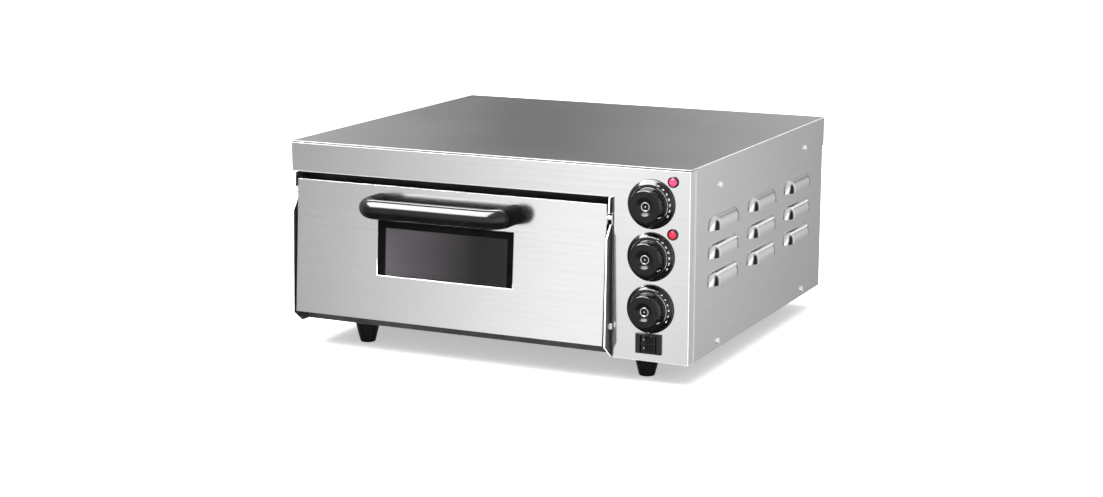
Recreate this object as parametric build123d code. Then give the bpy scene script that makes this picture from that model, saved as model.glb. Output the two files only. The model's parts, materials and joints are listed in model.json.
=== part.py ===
from build123d import *
import os
from math import atan2, degrees, hypot

# Single-deck electric pizza oven for a countertop, in millimetres, +Z up, front towards -Y.
# Everything is drawn in the casing's frame: X = 0 halfway across the top cover, Y = 0 on the
# front panel, Z = 0 at the casing's lower edge. save() then moves each piece so that the row's
# origin is the middle of the underside of the whole oven, on the surface that the feet stand on.

# Casing
WIDTH = 560.0
DEPTH = 507.0
HEIGHT = 241.0
SHEET = 1.0
LIP = 40.0
LEFT_OVERHANG = 5.5
REAR_OVERHANG = 5.5
COVER_SEAM = 1.5
FIT_GAP = 0.2

COVER_LEFT = -WIDTH / 2
COVER_RIGHT = WIDTH / 2
BODY_LEFT = COVER_LEFT + LEFT_OVERHANG
BODY_RIGHT = COVER_RIGHT - SHEET
BODY_BACK = DEPTH - REAR_OVERHANG
LIP_BOTTOM = HEIGHT - LIP
COVER_UNDER = HEIGHT - SHEET
FASCIA_TOP = COVER_UNDER - COVER_SEAM

# Control panel and control bay, to the right of the door
PANEL_LEFT = 180.0
PANEL_RETURN = 18.0
PANEL_TOP_RETURN = 12.0
PANEL_BOTTOM_RETURN = 14.0
PANEL_MIDDLE = 229.0
BAY_WALL = 176.5
BAY_WALL_FRONT = 3.0

# Feet
FOOT_HEIGHT = 31.0
FOOT_TOP_R = 17.0
FOOT_BOTTOM_R = 10.0
FOOT_X = (-199.0, 205.0)
FOOT_Y = (48.5, 453.0)
FOOT_SCREW_R = 2.5

# Door: a shallow box whose face leans back towards its top
DOOR_LEFT = -269.0
DOOR_RIGHT = 172.0
DOOR_MIDDLE = (DOOR_LEFT + DOOR_RIGHT) / 2
DOOR_FOOT_Y = -17.0
DOOR_FOOT_Z = 16.5
DOOR_HEAD_Y = -4.0
DOOR_HEAD_Z = 192.0
DOOR_SKIN = 1.2
DOOR_BOX = 16.0
DOOR_RISE = hypot(DOOR_HEAD_Y - DOOR_FOOT_Y, DOOR_HEAD_Z - DOOR_FOOT_Z)
DOOR_LEAN = degrees(atan2(DOOR_HEAD_Y - DOOR_FOOT_Y, DOOR_HEAD_Z - DOOR_FOOT_Z))
DOOR_PLACE = Pos(0, DOOR_FOOT_Y, DOOR_FOOT_Z) * Rot(-DOOR_LEAN, 0, 0)
PIVOT_Y = -5.0
PIVOT_Z = 40.4
PIVOT_R = 2.5
RUNNING = 0.05

# Door window, measured up the door's face from its lower edge
WINDOW_LEFT = -147.5
WINDOW_RIGHT = 46.5
WINDOW_LOW = 59.5
WINDOW_HIGH = 130.7
WINDOW_HEM = 0.8
WINDOW_HEM_DEPTH = 3.2
GLASS_THICKNESS = 4.0
GLASS_FRONT = 4.2
GASKET_BORDER = 9.5
GASKET_FLANGE = 2.5

# Door handle
HANDLE_R = 12.6
HANDLE_REACH = 95.2
HANDLE_Y = -50.3
HANDLE_Z = 169.5
HANDLE_BEND = 19.0

# Hinge plates, one each side of the door
HINGE_PLATE = 2.0
PLATE_GAP = 2.5
PIN_Y = -1.0
PIN_Z = 175.4
PIN_R = 2.75
PIN_PROUD = 6.3

# Baking chamber
CHAMBER_LEFT = -249.0
CHAMBER_RIGHT = 151.0
CHAMBER_FLOOR = 56.0
CHAMBER_CEILING = 176.0
FRAME_Y = 18.0
CHAMBER_DEPTH = 400.0
CHAMBER_FRONT = FRAME_Y + SHEET
CHAMBER_BACK = CHAMBER_FRONT + CHAMBER_DEPTH
RECESS_Y = 26.5
SHELF_Z = 47.0
RAIL_Z = 70.5
STONE_SIDE = 390.0
STONE_THICKNESS = 12.0
ELEMENT_R = 4.0
UPPER_ELEMENT_Z = 166.0
LOWER_ELEMENT_Z = 63.0
ELEMENT_LEFT = -215.0
ELEMENT_TURN = 115.0
ELEMENT_END = 190.0
ELEMENT_FIRST_Y = 68.0
ELEMENT_PITCH = 58.0
ELEMENT_BEND = 24.0
ELEMENT_RUNS = 6
SENSOR_X = 144.0
SENSOR_Z = {"upper": 150.0, "lower": 96.0}

# Controls
KNOB_Z = {"upper_heat": 196.0, "lower_heat": 131.3, "timer": 66.4}
SKIRT_R = 30.2
GRIP_R = 20.8
KNOB_CLEAR = 1.2
KNOB_FACE = 23.0
SHAFT_R = 3.0
LAMP_X = 257.0
LAMP_Z = (225.0, 161.0)
LAMP_R = 7.0
SWITCH_X = 227.2
SWITCH_Z = 22.5
SWITCH_WIDTH = 34.5
SWITCH_HEIGHT = 25.5
SWITCH_PROUD = 2.4
ROCKER_PITCH = 10.8
ROCKER_HALF = 10.0
ROCKER_HEIGHT = 9.6
ROCKER_TILT = 8.0
ROCKER_PIVOT_Y = 1.0

# Louvres in the right side panel
LOUVRE_LENGTH = 98.0
LOUVRE_HEIGHT = 17.0
LOUVRE_PROUD = 8.0
LOUVRE_NOSE = 20.0
LOUVRE_FIRST_Y = 63.0
LOUVRE_PITCH_Y = 141.0
LOUVRE_FIRST_Z = 85.5
LOUVRE_PITCH_Z = 35.2
# Middle points of a hood's two curves, as shares of its proudness, height and nose.
LOUVRE_SHOULDER = (0.82, 0.52)
LOUVRE_BOW = 0.68
LOUVRE_BOW_AT = 0.4
LOUVRE_BROW = 4.0

# The whole oven's middle, which save() moves to the origin
MID_X = (COVER_LEFT + COVER_RIGHT + LOUVRE_PROUD) / 2
MID_Y = (HANDLE_Y - HANDLE_R + DEPTH) / 2


def block(x, y, z):
    """A box from its (low, high) limits along X, Y and Z."""
    size = Box(x[1] - x[0], y[1] - y[0], z[1] - z[0])
    return Pos(sum(x) / 2, sum(y) / 2, sum(z) / 2) * size


def rod(radius, start, length, way):
    """A cylinder from start, for length, along way: X, Y or Z, or -Y for towards the front."""
    turn = {"X": Rot(0, 90, 0), "Y": Rot(-90, 0, 0), "Z": Rot(0, 0, 0), "-Y": Rot(90, 0, 0)}
    shape = Cylinder(radius, length, align=(Align.CENTER, Align.CENTER, Align.MIN))
    return Pos(*start) * turn[way] * shape


def side_plate(outline, x):
    """A plate whose outline is given in (y, z), between two values of X."""
    face = Plane.YZ.offset(x[0]) * make_face(Polyline(*outline, close=True))
    return extrude(face, amount=x[1] - x[0], dir=(1, 0, 0))


def front_plate(outline, y):
    """A plate whose outline is given in (x, z), between two values of Y."""
    face = Pos(0, y[0], 0) * Rot(90, 0, 0) * make_face(Polyline(*outline, close=True))
    return extrude(face, amount=y[1] - y[0], dir=(0, 1, 0))


def save(name, *pieces):
    """Writes one node, moved so that the oven stands on Z = 0 around the origin."""
    stand = Pos(-MID_X, -MID_Y, FOOT_HEIGHT)
    solids = [solid for piece in pieces for solid in piece.solids()]
    shape = Compound(children=solids) if len(solids) > 1 else solids[0]
    export_step(stand * shape, f"parts/{name}.step")


# Casing screws -------------------------------------------------------------------------------

SCREW_HEAD_R = 4.0
SCREW_HEAD = 2.2
SCREW_R = 2.0
SCREW_LENGTH = 6.0
CROSS_WIDTH = 0.8
CROSS_DEPTH = 0.9
SIDE_SCREW_Y = (98.0, 423.5)
SIDE_SCREW_Z = (9.5, 208.5)
REAR_SCREW_X = (-255.0, 0.0, 262.0)
REAR_SCREW_Z = (9.5, 192.0)


def screw():
    """A pan-head screw with a cross recess, its seat on Z = 0 and its head towards +Z."""
    head = Cylinder(SCREW_HEAD_R, SCREW_HEAD, align=(Align.CENTER, Align.CENTER, Align.MIN))
    head = fillet(head.edges().group_by(Axis.Z)[-1], SCREW_HEAD * 0.7)
    slot = Pos(0, 0, SCREW_HEAD) * Box(SCREW_HEAD_R, CROSS_WIDTH, 2 * CROSS_DEPTH)
    cross = Pos(0, 0, SCREW_HEAD) * Box(CROSS_WIDTH, SCREW_HEAD_R, 2 * CROSS_DEPTH)
    return head - slot - cross + rod(SCREW_R, (0, 0, -SCREW_LENGTH), SCREW_LENGTH, "Z")


def screw_places():
    """Where each screw's seat is, by the panel that it holds."""
    right = [Pos(COVER_RIGHT, y, z) * Rot(0, 90, 0) for y in SIDE_SCREW_Y for z in SIDE_SCREW_Z]
    left = [Pos(BODY_LEFT, y, z) * Rot(0, -90, 0) for y in SIDE_SCREW_Y for z in SIDE_SCREW_Z[:1]]
    rear = [Pos(x, BODY_BACK, z) * Rot(-90, 0, 0) for x in REAR_SCREW_X for z in REAR_SCREW_Z]
    sides = (-CONTROL_SCREW_REACH, CONTROL_SCREW_REACH)
    front = [
        Pos(PANEL_MIDDLE + side, 0, z) * Rot(90, 0, 0) for z in KNOB_Z.values() for side in sides
    ]
    return {"right": right, "left": left, "rear": rear, "front": front}


def screw_holes(panel):
    """Clearance holes for one panel's screws."""
    shape = Cylinder(SCREW_R + FIT_GAP, 4 * SCREW_LENGTH)
    return [place * shape for place in screw_places()[panel]]


def casing_screws():
    """The panels' screws, and the pair behind each knob that holds its regulator."""
    places = [place for group in screw_places().values() for place in group]
    save("casing_screws", *[place * screw() for place in places])


# Outer casing --------------------------------------------------------------------------------

def top_cover():
    """Flat top with a deep lip down the left side and the back."""
    top = block((COVER_LEFT, COVER_RIGHT), (0, DEPTH), (COVER_UNDER, HEIGHT))
    lip_z = (LIP_BOTTOM, COVER_UNDER)
    left = block((COVER_LEFT, COVER_LEFT + SHEET), (SHEET + FIT_GAP, DEPTH), lip_z)
    rear_x = (COVER_LEFT + SHEET, BODY_RIGHT - FIT_GAP)
    rear = block(rear_x, (DEPTH - SHEET, DEPTH), lip_z)
    save("top_cover", top + left + rear)


def front_panel():
    """One L-shaped sheet: the fascia above the door and the control panel beside it."""
    face = front_plate(
        [
            (COVER_LEFT, LIP_BOTTOM),
            (PANEL_LEFT, LIP_BOTTOM),
            (PANEL_LEFT, 0),
            (BODY_RIGHT, 0),
            (BODY_RIGHT, FASCIA_TOP),
            (COVER_LEFT, FASCIA_TOP),
        ],
        (0, SHEET),
    )
    inside = BODY_LEFT + SHEET
    over_door = block(
        (inside, BAY_WALL - FIT_GAP), (SHEET, FRAME_Y), (LIP_BOTTOM, LIP_BOTTOM + SHEET)
    )
    top_return = block(
        (inside, BODY_RIGHT), (SHEET, PANEL_TOP_RETURN), (FASCIA_TOP - SHEET, FASCIA_TOP)
    )
    left_return = block((PANEL_LEFT, PANEL_LEFT + SHEET), (SHEET, PANEL_RETURN), (0, LIP_BOTTOM))
    right_return = block(
        (BODY_RIGHT - SHEET, BODY_RIGHT), (SHEET, 2 * PANEL_RETURN), (SHEET, FASCIA_TOP)
    )
    bottom_return = block((PANEL_LEFT, BODY_RIGHT), (SHEET, PANEL_BOTTOM_RETURN), (0, SHEET))
    panel = face + over_door + top_return + left_return + right_return + bottom_return
    through = 3 * SHEET
    for z in KNOB_Z.values():
        panel -= rod(BUSHING_R + 0.3, (PANEL_MIDDLE, -SHEET, z), through, "Y")
    for hole in screw_holes("front"):
        panel -= hole
    for z in LAMP_Z:
        panel -= rod(LAMP_STEM_R + FIT_GAP, (LAMP_X, -SHEET, z), through, "Y")
    cut = (SWITCH_WIDTH - 2 * SWITCH_FLANGE) / 2 + FIT_GAP
    rise = (SWITCH_HEIGHT - 2 * SWITCH_RIM) / 2 + FIT_GAP
    panel -= block(
        (SWITCH_X - cut, SWITCH_X + cut), (-SHEET, 2 * SHEET), (SWITCH_Z - rise, SWITCH_Z + rise)
    )
    save("front_panel", panel)


def louvre(inset):
    """The outline solid of one hood, shrunk by inset; its mouth faces down."""
    proud = LOUVRE_PROUD - inset
    high = LOUVRE_HEIGHT - inset
    low = -2 * inset
    long = LOUVRE_LENGTH - 2 * inset
    nose = LOUVRE_NOSE - inset
    shoulder = (proud * LOUVRE_SHOULDER[0], high * LOUVRE_SHOULDER[1])
    crown = ThreePointArc((proud, low), shoulder, (0, high))
    section = make_face([Line((0, low), (proud, low)), crown, Line((0, high), (0, low))])
    hood = Rot(90, 0, 0) * extrude(section, amount=long / 2, both=True)
    tip = long / 2
    full = tip - nose
    bend = tip - LOUVRE_BOW_AT * nose
    bow = LOUVRE_BOW * proud
    front_end = ThreePointArc((0, -tip), (bow, -bend), (proud, -full))
    rear_end = ThreePointArc((proud, full), (bow, bend), (0, tip))
    side = Line((proud, -full), (proud, full))
    plan = make_face([front_end, side, rear_end, Line((0, tip), (0, -tip))])
    return hood & extrude(plan, amount=2 * LOUVRE_HEIGHT, both=True)


def right_side_panel():
    """Removable cover of the control bay, with nine louvres in three columns."""
    front = PANEL_RETURN
    panel = side_plate(
        [
            (front, FIT_GAP),
            (BODY_BACK, FIT_GAP),
            (BODY_BACK, LIP_BOTTOM),
            (DEPTH, LIP_BOTTOM),
            (DEPTH, COVER_UNDER),
            (front, COVER_UNDER),
        ],
        (BODY_RIGHT, COVER_RIGHT),
    )
    for hole in screw_holes("right"):
        panel -= hole
    hood = louvre(0)
    hollow = louvre(SHEET)
    slot = (LOUVRE_LENGTH - LOUVRE_NOSE) / 2
    vent = block((-2 * SHEET, FIT_GAP), (-slot, slot), (0, LOUVRE_HEIGHT - LOUVRE_BROW))
    for column in range(3):
        for row in range(3):
            y = LOUVRE_FIRST_Y + LOUVRE_LENGTH / 2 + column * LOUVRE_PITCH_Y
            z = LOUVRE_FIRST_Z + row * LOUVRE_PITCH_Z
            place = Pos(COVER_RIGHT, y, z)
            panel = panel + place * hood - place * hollow - place * vent
    save("right_side_panel", panel)


def left_side_panel():
    sheet = block(
        (BODY_LEFT, BODY_LEFT + SHEET), (BAY_WALL_FRONT, BODY_BACK), (FIT_GAP, COVER_UNDER)
    )
    for hole in screw_holes("left"):
        sheet -= hole
    save("left_side_panel", sheet)


def rear_panel():
    x = (BODY_LEFT + SHEET, BODY_RIGHT)
    sheet = block(x, (BODY_BACK - SHEET, BODY_BACK), (FIT_GAP, COVER_UNDER))
    sheet -= rod(GLAND_R + FIT_GAP, (GLAND_X, BODY_BACK - 2 * SHEET, GLAND_Z), 3 * SHEET, "Y")
    for hole in screw_holes("rear"):
        sheet -= hole
    save("rear_panel", sheet)


RAIL_HEIGHT = 12.0
PAN_EDGE = 16.0
HOLE_CLEARANCE = 1.0


def base_pan():
    """Floor of the casing, with upturned edges; the front edge is the rail under the door."""
    left = BODY_LEFT + SHEET
    right = BODY_RIGHT - SHEET
    back = BODY_BACK - SHEET
    front = FRAME_Y + FIT_GAP
    rail_x = (BODY_LEFT + SHEET + HINGE_PLATE + FIT_GAP, BAY_WALL - HINGE_PLATE - FIT_GAP)
    floor = block((left, right), (front + SHEET, back), (0, SHEET))
    rail = block(rail_x, (front, front + SHEET), (0, RAIL_HEIGHT))
    edge_z = (SHEET, PAN_EDGE)
    left_edge = block((left, left + SHEET), (2 * front, back), edge_z)
    right_edge = block((right - SHEET, right), (3 * front, back), edge_z)
    rear_edge = block((left + SHEET, right - SHEET), (back - SHEET, back), edge_z)
    pan = floor + rail + left_edge + right_edge + rear_edge
    for x in FOOT_X:
        for y in FOOT_Y:
            pan -= rod(FOOT_SCREW_R + FIT_GAP, (x, y, -SHEET), 3 * SHEET, "Z")
    for panel in ("left", "right", "rear"):
        for hole in screw_holes(panel):
            pan -= hole
    save("base_pan", pan)


def control_bay_wall():
    """Upright sheet between the baking chamber and the controls."""
    wall = block(
        (BAY_WALL, BAY_WALL + SHEET),
        (BAY_WALL_FRONT, BODY_BACK - 3 * SHEET),
        (SHEET, FASCIA_TOP - 2 * SHEET),
    )
    ends = (ELEMENT_FIRST_Y, ELEMENT_FIRST_Y + (ELEMENT_RUNS - 1) * ELEMENT_PITCH)
    before = BAY_WALL - SHEET
    for z in (UPPER_ELEMENT_Z, LOWER_ELEMENT_Z):
        for y in ends:
            wall -= rod(ELEMENT_R + HOLE_CLEARANCE, (before, y, z), 3 * SHEET, "X")
    for z in SENSOR_Z.values():
        wall -= rod(CAPILLARY_R + HOLE_CLEARANCE, (before, CAPILLARY_Y, z), 3 * SHEET, "X")
    save("control_bay_wall", wall)


def recess_panel():
    """Bent sheet behind the door's lower edge, which swings inwards as the door opens."""
    x = (BODY_LEFT + SHEET + HINGE_PLATE + FIT_GAP, BAY_WALL - HINGE_PLATE - FIT_GAP)
    shelf = block(x, (FRAME_Y, RECESS_Y), (SHELF_Z, SHELF_Z + SHEET))
    upright = block(x, (RECESS_Y, RECESS_Y + SHEET), (SHEET, SHELF_Z + SHEET))
    save("recess_panel", shelf + upright)


# Feet ----------------------------------------------------------------------------------------

FOOT_RECESS_R = 6.0
FOOT_WEB = 9.0
FOOT_SCREW_HEAD = 3.5
FOOT_SCREW_REACH = 8.0


def feet():
    """Four tapered feet, each hollow from below for its screw."""
    cone = Cone(FOOT_BOTTOM_R, FOOT_TOP_R, FOOT_HEIGHT)
    foot = Pos(0, 0, -FOOT_HEIGHT / 2) * cone
    foot = fillet(foot.edges().group_by(Axis.Z)[0], 1.0)
    foot -= rod(FOOT_RECESS_R, (0, 0, -FOOT_HEIGHT - 1), FOOT_HEIGHT + 1 - FOOT_WEB, "Z")
    foot -= rod(FOOT_SCREW_R + FIT_GAP, (0, 0, -FOOT_WEB - 1), FOOT_WEB + 2, "Z")
    names = {(0, 0): "front_left", (1, 0): "front_right", (0, 1): "rear_left", (1, 1): "rear_right"}
    for (i, j), name in names.items():
        save(f"foot_{name}", Pos(FOOT_X[i], FOOT_Y[j], 0) * foot)


def foot_screws():
    under = -FOOT_WEB - FOOT_SCREW_HEAD
    head = rod(FOOT_RECESS_R - 1, (0, 0, under), FOOT_SCREW_HEAD, "Z")
    head -= Pos(0, 0, under) * Box(FOOT_RECESS_R, 1, 2)
    bolt = head + rod(FOOT_SCREW_R, (0, 0, -FOOT_WEB), FOOT_WEB + FOOT_SCREW_REACH, "Z")
    save("foot_screws", *[Pos(x, y, 0) * bolt for x in FOOT_X for y in FOOT_Y])


# Hinge plates and pivots ---------------------------------------------------------------------

PLATE_TOE = (2.0, 0.0)
PLATE_KNEE = (-18.0, 15.0)
PLATE_THROAT = (-13.0, 151.0)
NOTCH_MOUTH = (-1.0, 166.5)
NOTCH_BACK = 4.0
NOTCH_TOP = (-6.5, 181.0)
PLATE_HEAD_Y = -5.0


def hinge_plates():
    """A plate each side of the door, notched for the door's side pins."""
    outline = [
        (PANEL_RETURN, 0),
        PLATE_TOE,
        PLATE_KNEE,
        PLATE_THROAT,
        NOTCH_MOUTH,
        (NOTCH_BACK, NOTCH_MOUTH[1]),
        (NOTCH_BACK, NOTCH_TOP[1]),
        NOTCH_TOP,
        (PLATE_HEAD_Y, LIP_BOTTOM - FIT_GAP),
        (PANEL_RETURN, LIP_BOTTOM - FIT_GAP),
    ]
    left_x = (DOOR_LEFT - PLATE_GAP - HINGE_PLATE, DOOR_LEFT - PLATE_GAP)
    right_x = (DOOR_RIGHT + PLATE_GAP, DOOR_RIGHT + PLATE_GAP + HINGE_PLATE)
    for name, x in (("left", left_x), ("right", right_x)):
        plate = side_plate(outline, x)
        plate -= rod(PIVOT_R + FIT_GAP, (x[0] - 1, PIVOT_Y, PIVOT_Z), HINGE_PLATE + 2, "X")
        save(f"hinge_plate_{name}", plate)


PIVOT_HEAD_R = 4.0
PIVOT_HEAD = 2.3
PIVOT_INTO_DOOR = 12.0
PIVOT_SLOT_WIDTH = 1.0
PIVOT_SLOT_DEPTH = 0.8


def pivot_bolts():
    """Shoulder bolts that carry the door, one through each hinge plate."""
    reach = PLATE_GAP + HINGE_PLATE + PIVOT_INTO_DOOR
    bolt = rod(PIVOT_R, (-reach, 0, 0), reach, "X")
    bolt += rod(PIVOT_HEAD_R, (0, 0, 0), PIVOT_HEAD, "X")
    bolt -= Pos(PIVOT_HEAD, 0, 0) * Box(2 * PIVOT_SLOT_DEPTH, PIVOT_SLOT_WIDTH, 2 * PIVOT_HEAD_R)
    right = Pos(DOOR_RIGHT + PLATE_GAP + HINGE_PLATE, PIVOT_Y, PIVOT_Z) * bolt
    left = Pos(DOOR_LEFT - PLATE_GAP - HINGE_PLATE, PIVOT_Y, PIVOT_Z) * Rot(0, 0, 180) * bolt
    save("pivot_bolts", left, right)


# Baking chamber ------------------------------------------------------------------------------

def chamber_front_frame():
    """Flat frame round the mouth of the chamber, which the door's seal closes on."""
    x = (BODY_LEFT + SHEET + HINGE_PLATE + FIT_GAP, BAY_WALL - HINGE_PLATE - FIT_GAP)
    frame = block(x, (FRAME_Y, CHAMBER_FRONT), (SHELF_Z + SHEET, LIP_BOTTOM + SHEET))
    mouth_y = (FRAME_Y - 1, CHAMBER_FRONT + 1)
    mouth_z = (CHAMBER_FLOOR, CHAMBER_CEILING)
    save("chamber_front_frame", frame - block((CHAMBER_LEFT, CHAMBER_RIGHT), mouth_y, mouth_z))


def element_ends(z):
    """Centres of the two holes that a heating element's ends pass through."""
    last = ELEMENT_FIRST_Y + (ELEMENT_RUNS - 1) * ELEMENT_PITCH
    return [(ELEMENT_FIRST_Y, z), (last, z)]


def side_holes(x, length):
    """Holes through the chamber's right side for the element ends and the capillaries."""
    holes = []
    for z in (UPPER_ELEMENT_Z, LOWER_ELEMENT_Z):
        holes += [rod(ELEMENT_R + 0.3, (x, y, height), length, "X") for y, height in element_ends(z)]
    for z in SENSOR_Z.values():
        holes.append(rod(CAPILLARY_R + 0.3, (x, CAPILLARY_Y, z), length, "X"))
    return holes


def chamber_walls():
    """Five flat sheets; the sixth side is the mouth behind the door."""
    inside_x = (CHAMBER_LEFT, CHAMBER_RIGHT)
    inside_y = (CHAMBER_FRONT, CHAMBER_BACK)
    outer_z = (CHAMBER_FLOOR - SHEET, CHAMBER_CEILING + SHEET)
    save("chamber_floor", block(inside_x, inside_y, (CHAMBER_FLOOR - SHEET, CHAMBER_FLOOR)))
    save("chamber_ceiling", block(inside_x, inside_y, (CHAMBER_CEILING, CHAMBER_CEILING + SHEET)))
    save("chamber_left_wall", block((CHAMBER_LEFT - SHEET, CHAMBER_LEFT), inside_y, outer_z))
    right = block((CHAMBER_RIGHT, CHAMBER_RIGHT + SHEET), inside_y, outer_z)
    for hole in side_holes(CHAMBER_RIGHT - 1, 3):
        right -= hole
    save("chamber_right_wall", right)
    back_x = (CHAMBER_LEFT - SHEET, CHAMBER_RIGHT + SHEET)
    save("chamber_back_wall", block(back_x, (CHAMBER_BACK, CHAMBER_BACK + SHEET), outer_z))


INSULATION_GAP = 0.3
INSULATION_BACK = 24.0
INSULATION_BOTTOM = 30.0
INSULATION_HEADROOM = 4.0


def insulation():
    """Ceramic wool blankets round the chamber."""
    left = BODY_LEFT + SHEET + 1
    right = BAY_WALL - INSULATION_GAP
    front = CHAMBER_FRONT + 0.5
    under = CHAMBER_FLOOR - SHEET - INSULATION_GAP
    over = CHAMBER_CEILING + SHEET + INSULATION_GAP
    back = CHAMBER_BACK + SHEET + INSULATION_GAP
    side_z = (under, over)
    full_x = (left, right)
    all_y = (front, back + INSULATION_BACK)
    save("insulation_top", block(full_x, all_y, (over, FASCIA_TOP - INSULATION_HEADROOM)))
    bottom_y = (RECESS_Y + 2, back + INSULATION_BACK)
    save("insulation_bottom", block(full_x, bottom_y, (INSULATION_BOTTOM, under)))
    save("insulation_back", block(full_x, (back, back + INSULATION_BACK), side_z))
    save("insulation_left", block((left, CHAMBER_LEFT - SHEET - INSULATION_GAP), (front, back), side_z))
    near = CHAMBER_RIGHT + SHEET + INSULATION_GAP
    right_side = block((near, right), (front, back), side_z)
    for hole in side_holes(near - 1, right - near + 2):
        right_side -= hole
    save("insulation_right", right_side)


def heating_element(name, z):
    """A tubular element bent into a serpentine, both ends leaving through the right wall."""
    points = [(ELEMENT_END, ELEMENT_FIRST_Y, z)]
    for run in range(ELEMENT_RUNS - 1):
        x = ELEMENT_LEFT if run % 2 == 0 else ELEMENT_TURN
        y = ELEMENT_FIRST_Y + run * ELEMENT_PITCH
        points += [(x, y, z), (x, y + ELEMENT_PITCH, z)]
    points.append((ELEMENT_END, points[-1][1], z))
    path = FilletPolyline(*points, radius=ELEMENT_BEND)
    section = Plane(origin=points[0], z_dir=(-1, 0, 0)) * Circle(ELEMENT_R)
    save(name, sweep(section, path=path))


CLIP_X = (-160.0, 60.0)
CLIP_HALF = 5.0
CLIP_WALL = 2.0
BULB_CLIP_Y = (15.0, 60.0)
BULB_CLIP = 8.0
CLIP_FIT = 0.05
SENSOR_R = 3.0
SENSOR_FRONT = 250.0
SENSOR_LENGTH = 110.0


def chamber_clips():
    """Saddles that hold the elements to the ceiling and floor, and the bulbs to the right wall."""
    clips = []
    for run in range(ELEMENT_RUNS):
        y = ELEMENT_FIRST_Y + run * ELEMENT_PITCH
        for x in CLIP_X:
            half = ELEMENT_R + CLIP_WALL
            sides = ((x - CLIP_HALF, x + CLIP_HALF), (y - half, y + half))
            start = x - 2 * CLIP_HALF
            upper = block(*sides, (UPPER_ELEMENT_Z, CHAMBER_CEILING))
            upper -= rod(ELEMENT_R + CLIP_FIT, (start, y, UPPER_ELEMENT_Z), 4 * CLIP_HALF, "X")
            lower = block(*sides, (CHAMBER_FLOOR, LOWER_ELEMENT_Z))
            lower -= rod(ELEMENT_R + CLIP_FIT, (start, y, LOWER_ELEMENT_Z), 4 * CLIP_HALF, "X")
            clips += [upper, lower]
    half = SENSOR_R + CLIP_WALL
    for z in SENSOR_Z.values():
        for reach in BULB_CLIP_Y:
            y = SENSOR_FRONT + reach
            clip = block((SENSOR_X, CHAMBER_RIGHT), (y, y + BULB_CLIP), (z - half, z + half))
            clips.append(clip - rod(SENSOR_R + CLIP_FIT, (SENSOR_X, y - 1, z), BULB_CLIP + 2, "Y"))
    save("chamber_clips", *clips)


CAPILLARY_R = 1.2
CAPILLARY_INSET = 8.0
CAPILLARY_Y = SENSOR_FRONT + SENSOR_LENGTH - CAPILLARY_INSET


def sensor_bulbs():
    """A thermostat bulb for the top heat and one for the bottom heat, with their capillaries."""
    bulbs = []
    for z in SENSOR_Z.values():
        bulb = rod(SENSOR_R, (SENSOR_X, SENSOR_FRONT, z), SENSOR_LENGTH, "Y")
        bulb = chamfer(bulb.edges().filter_by(GeomType.CIRCLE), 1.0)
        bulb += rod(CAPILLARY_R, (SENSOR_X, CAPILLARY_Y, z), ELEMENT_END - SENSOR_X, "X")
        bulbs.append(bulb)
    save("sensor_bulbs", *bulbs)


RAIL_SHEET = 1.5
STONE_BACK_GAP = 4.0
STONE_CORNER = 8.0


def stone_and_rails():
    """Fire-clay baking stone on two angle rails."""
    ledge = 14.0
    upstand = 9.0
    top = RAIL_Z + RAIL_SHEET
    rails = []
    for wall, inward in ((CHAMBER_LEFT, 1), (CHAMBER_RIGHT, -1)):
        ledge_x = sorted((wall, wall + inward * ledge))
        upstand_x = sorted((wall, wall + inward * RAIL_SHEET))
        y = (CHAMBER_FRONT + 4, CHAMBER_BACK - 2)
        rail = block(ledge_x, y, (RAIL_Z, top))
        rails.append(rail + block(upstand_x, y, (RAIL_Z, RAIL_Z + upstand)))
    save("stone_rails", *rails)
    middle = (CHAMBER_LEFT + CHAMBER_RIGHT) / 2
    x = (middle - STONE_SIDE / 2, middle + STONE_SIDE / 2)
    back = CHAMBER_BACK - STONE_BACK_GAP
    stone = block(x, (back - STONE_SIDE, back), (top, top + STONE_THICKNESS))
    stone = fillet(stone.edges().filter_by(Axis.Z), STONE_CORNER)
    save("baking_stone", chamfer(stone.edges().group_by(Axis.Z)[-1], 1.5))


# Controls ------------------------------------------------------------------------------------

BUSHING_R = 4.8
CONTROL_SCREW_REACH = 14.0
SHAFT_FRONT = 17.0
SHAFT_BACK = 19.5
SHAFT_END_GAP = 0.5
BUSHING_PROUD = 0.8
SPADE = (3.0, 9.0, 0.4)


def regulator(width, height, depth):
    """A thermostat or timer: a case behind the panel, a bushing through it, and spade terminals."""
    case = block((-width / 2, width / 2), (SHEET, depth), (-height / 2, height / 2))
    case = fillet(case.edges().filter_by(Axis.Y), 2.0)
    case += rod(BUSHING_R, (0, -BUSHING_PROUD, 0), SHEET + BUSHING_PROUD + FIT_GAP, "Y")
    half, long, thin = SPADE
    for x in (-width / 4, width / 4):
        case += block((x - half, x + half), (depth, depth + long), (-thin, thin))
    bore = SHAFT_BACK + SHAFT_END_GAP + 2 * BUSHING_PROUD
    case -= rod(SHAFT_R + RUNNING, (0, -2 * BUSHING_PROUD, 0), bore, "Y")
    for side in (-CONTROL_SCREW_REACH, CONTROL_SCREW_REACH):
        case -= rod(SCREW_R + FIT_GAP, (side, 0, 0), SCREW_LENGTH + 1, "Y")
    return case


def regulators():
    """The two thermostats and the timer, each as width, height and depth behind the panel."""
    sizes = {"upper_heat": (46, 40, 34), "lower_heat": (46, 40, 34), "timer": (52, 50, 44)}
    names = {"upper_heat": "thermostat_upper", "lower_heat": "thermostat_lower", "timer": "timer_case"}
    for key, size in sizes.items():
        save(names[key], Pos(PANEL_MIDDLE, 0, KNOB_Z[key]) * regulator(*size))


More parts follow.
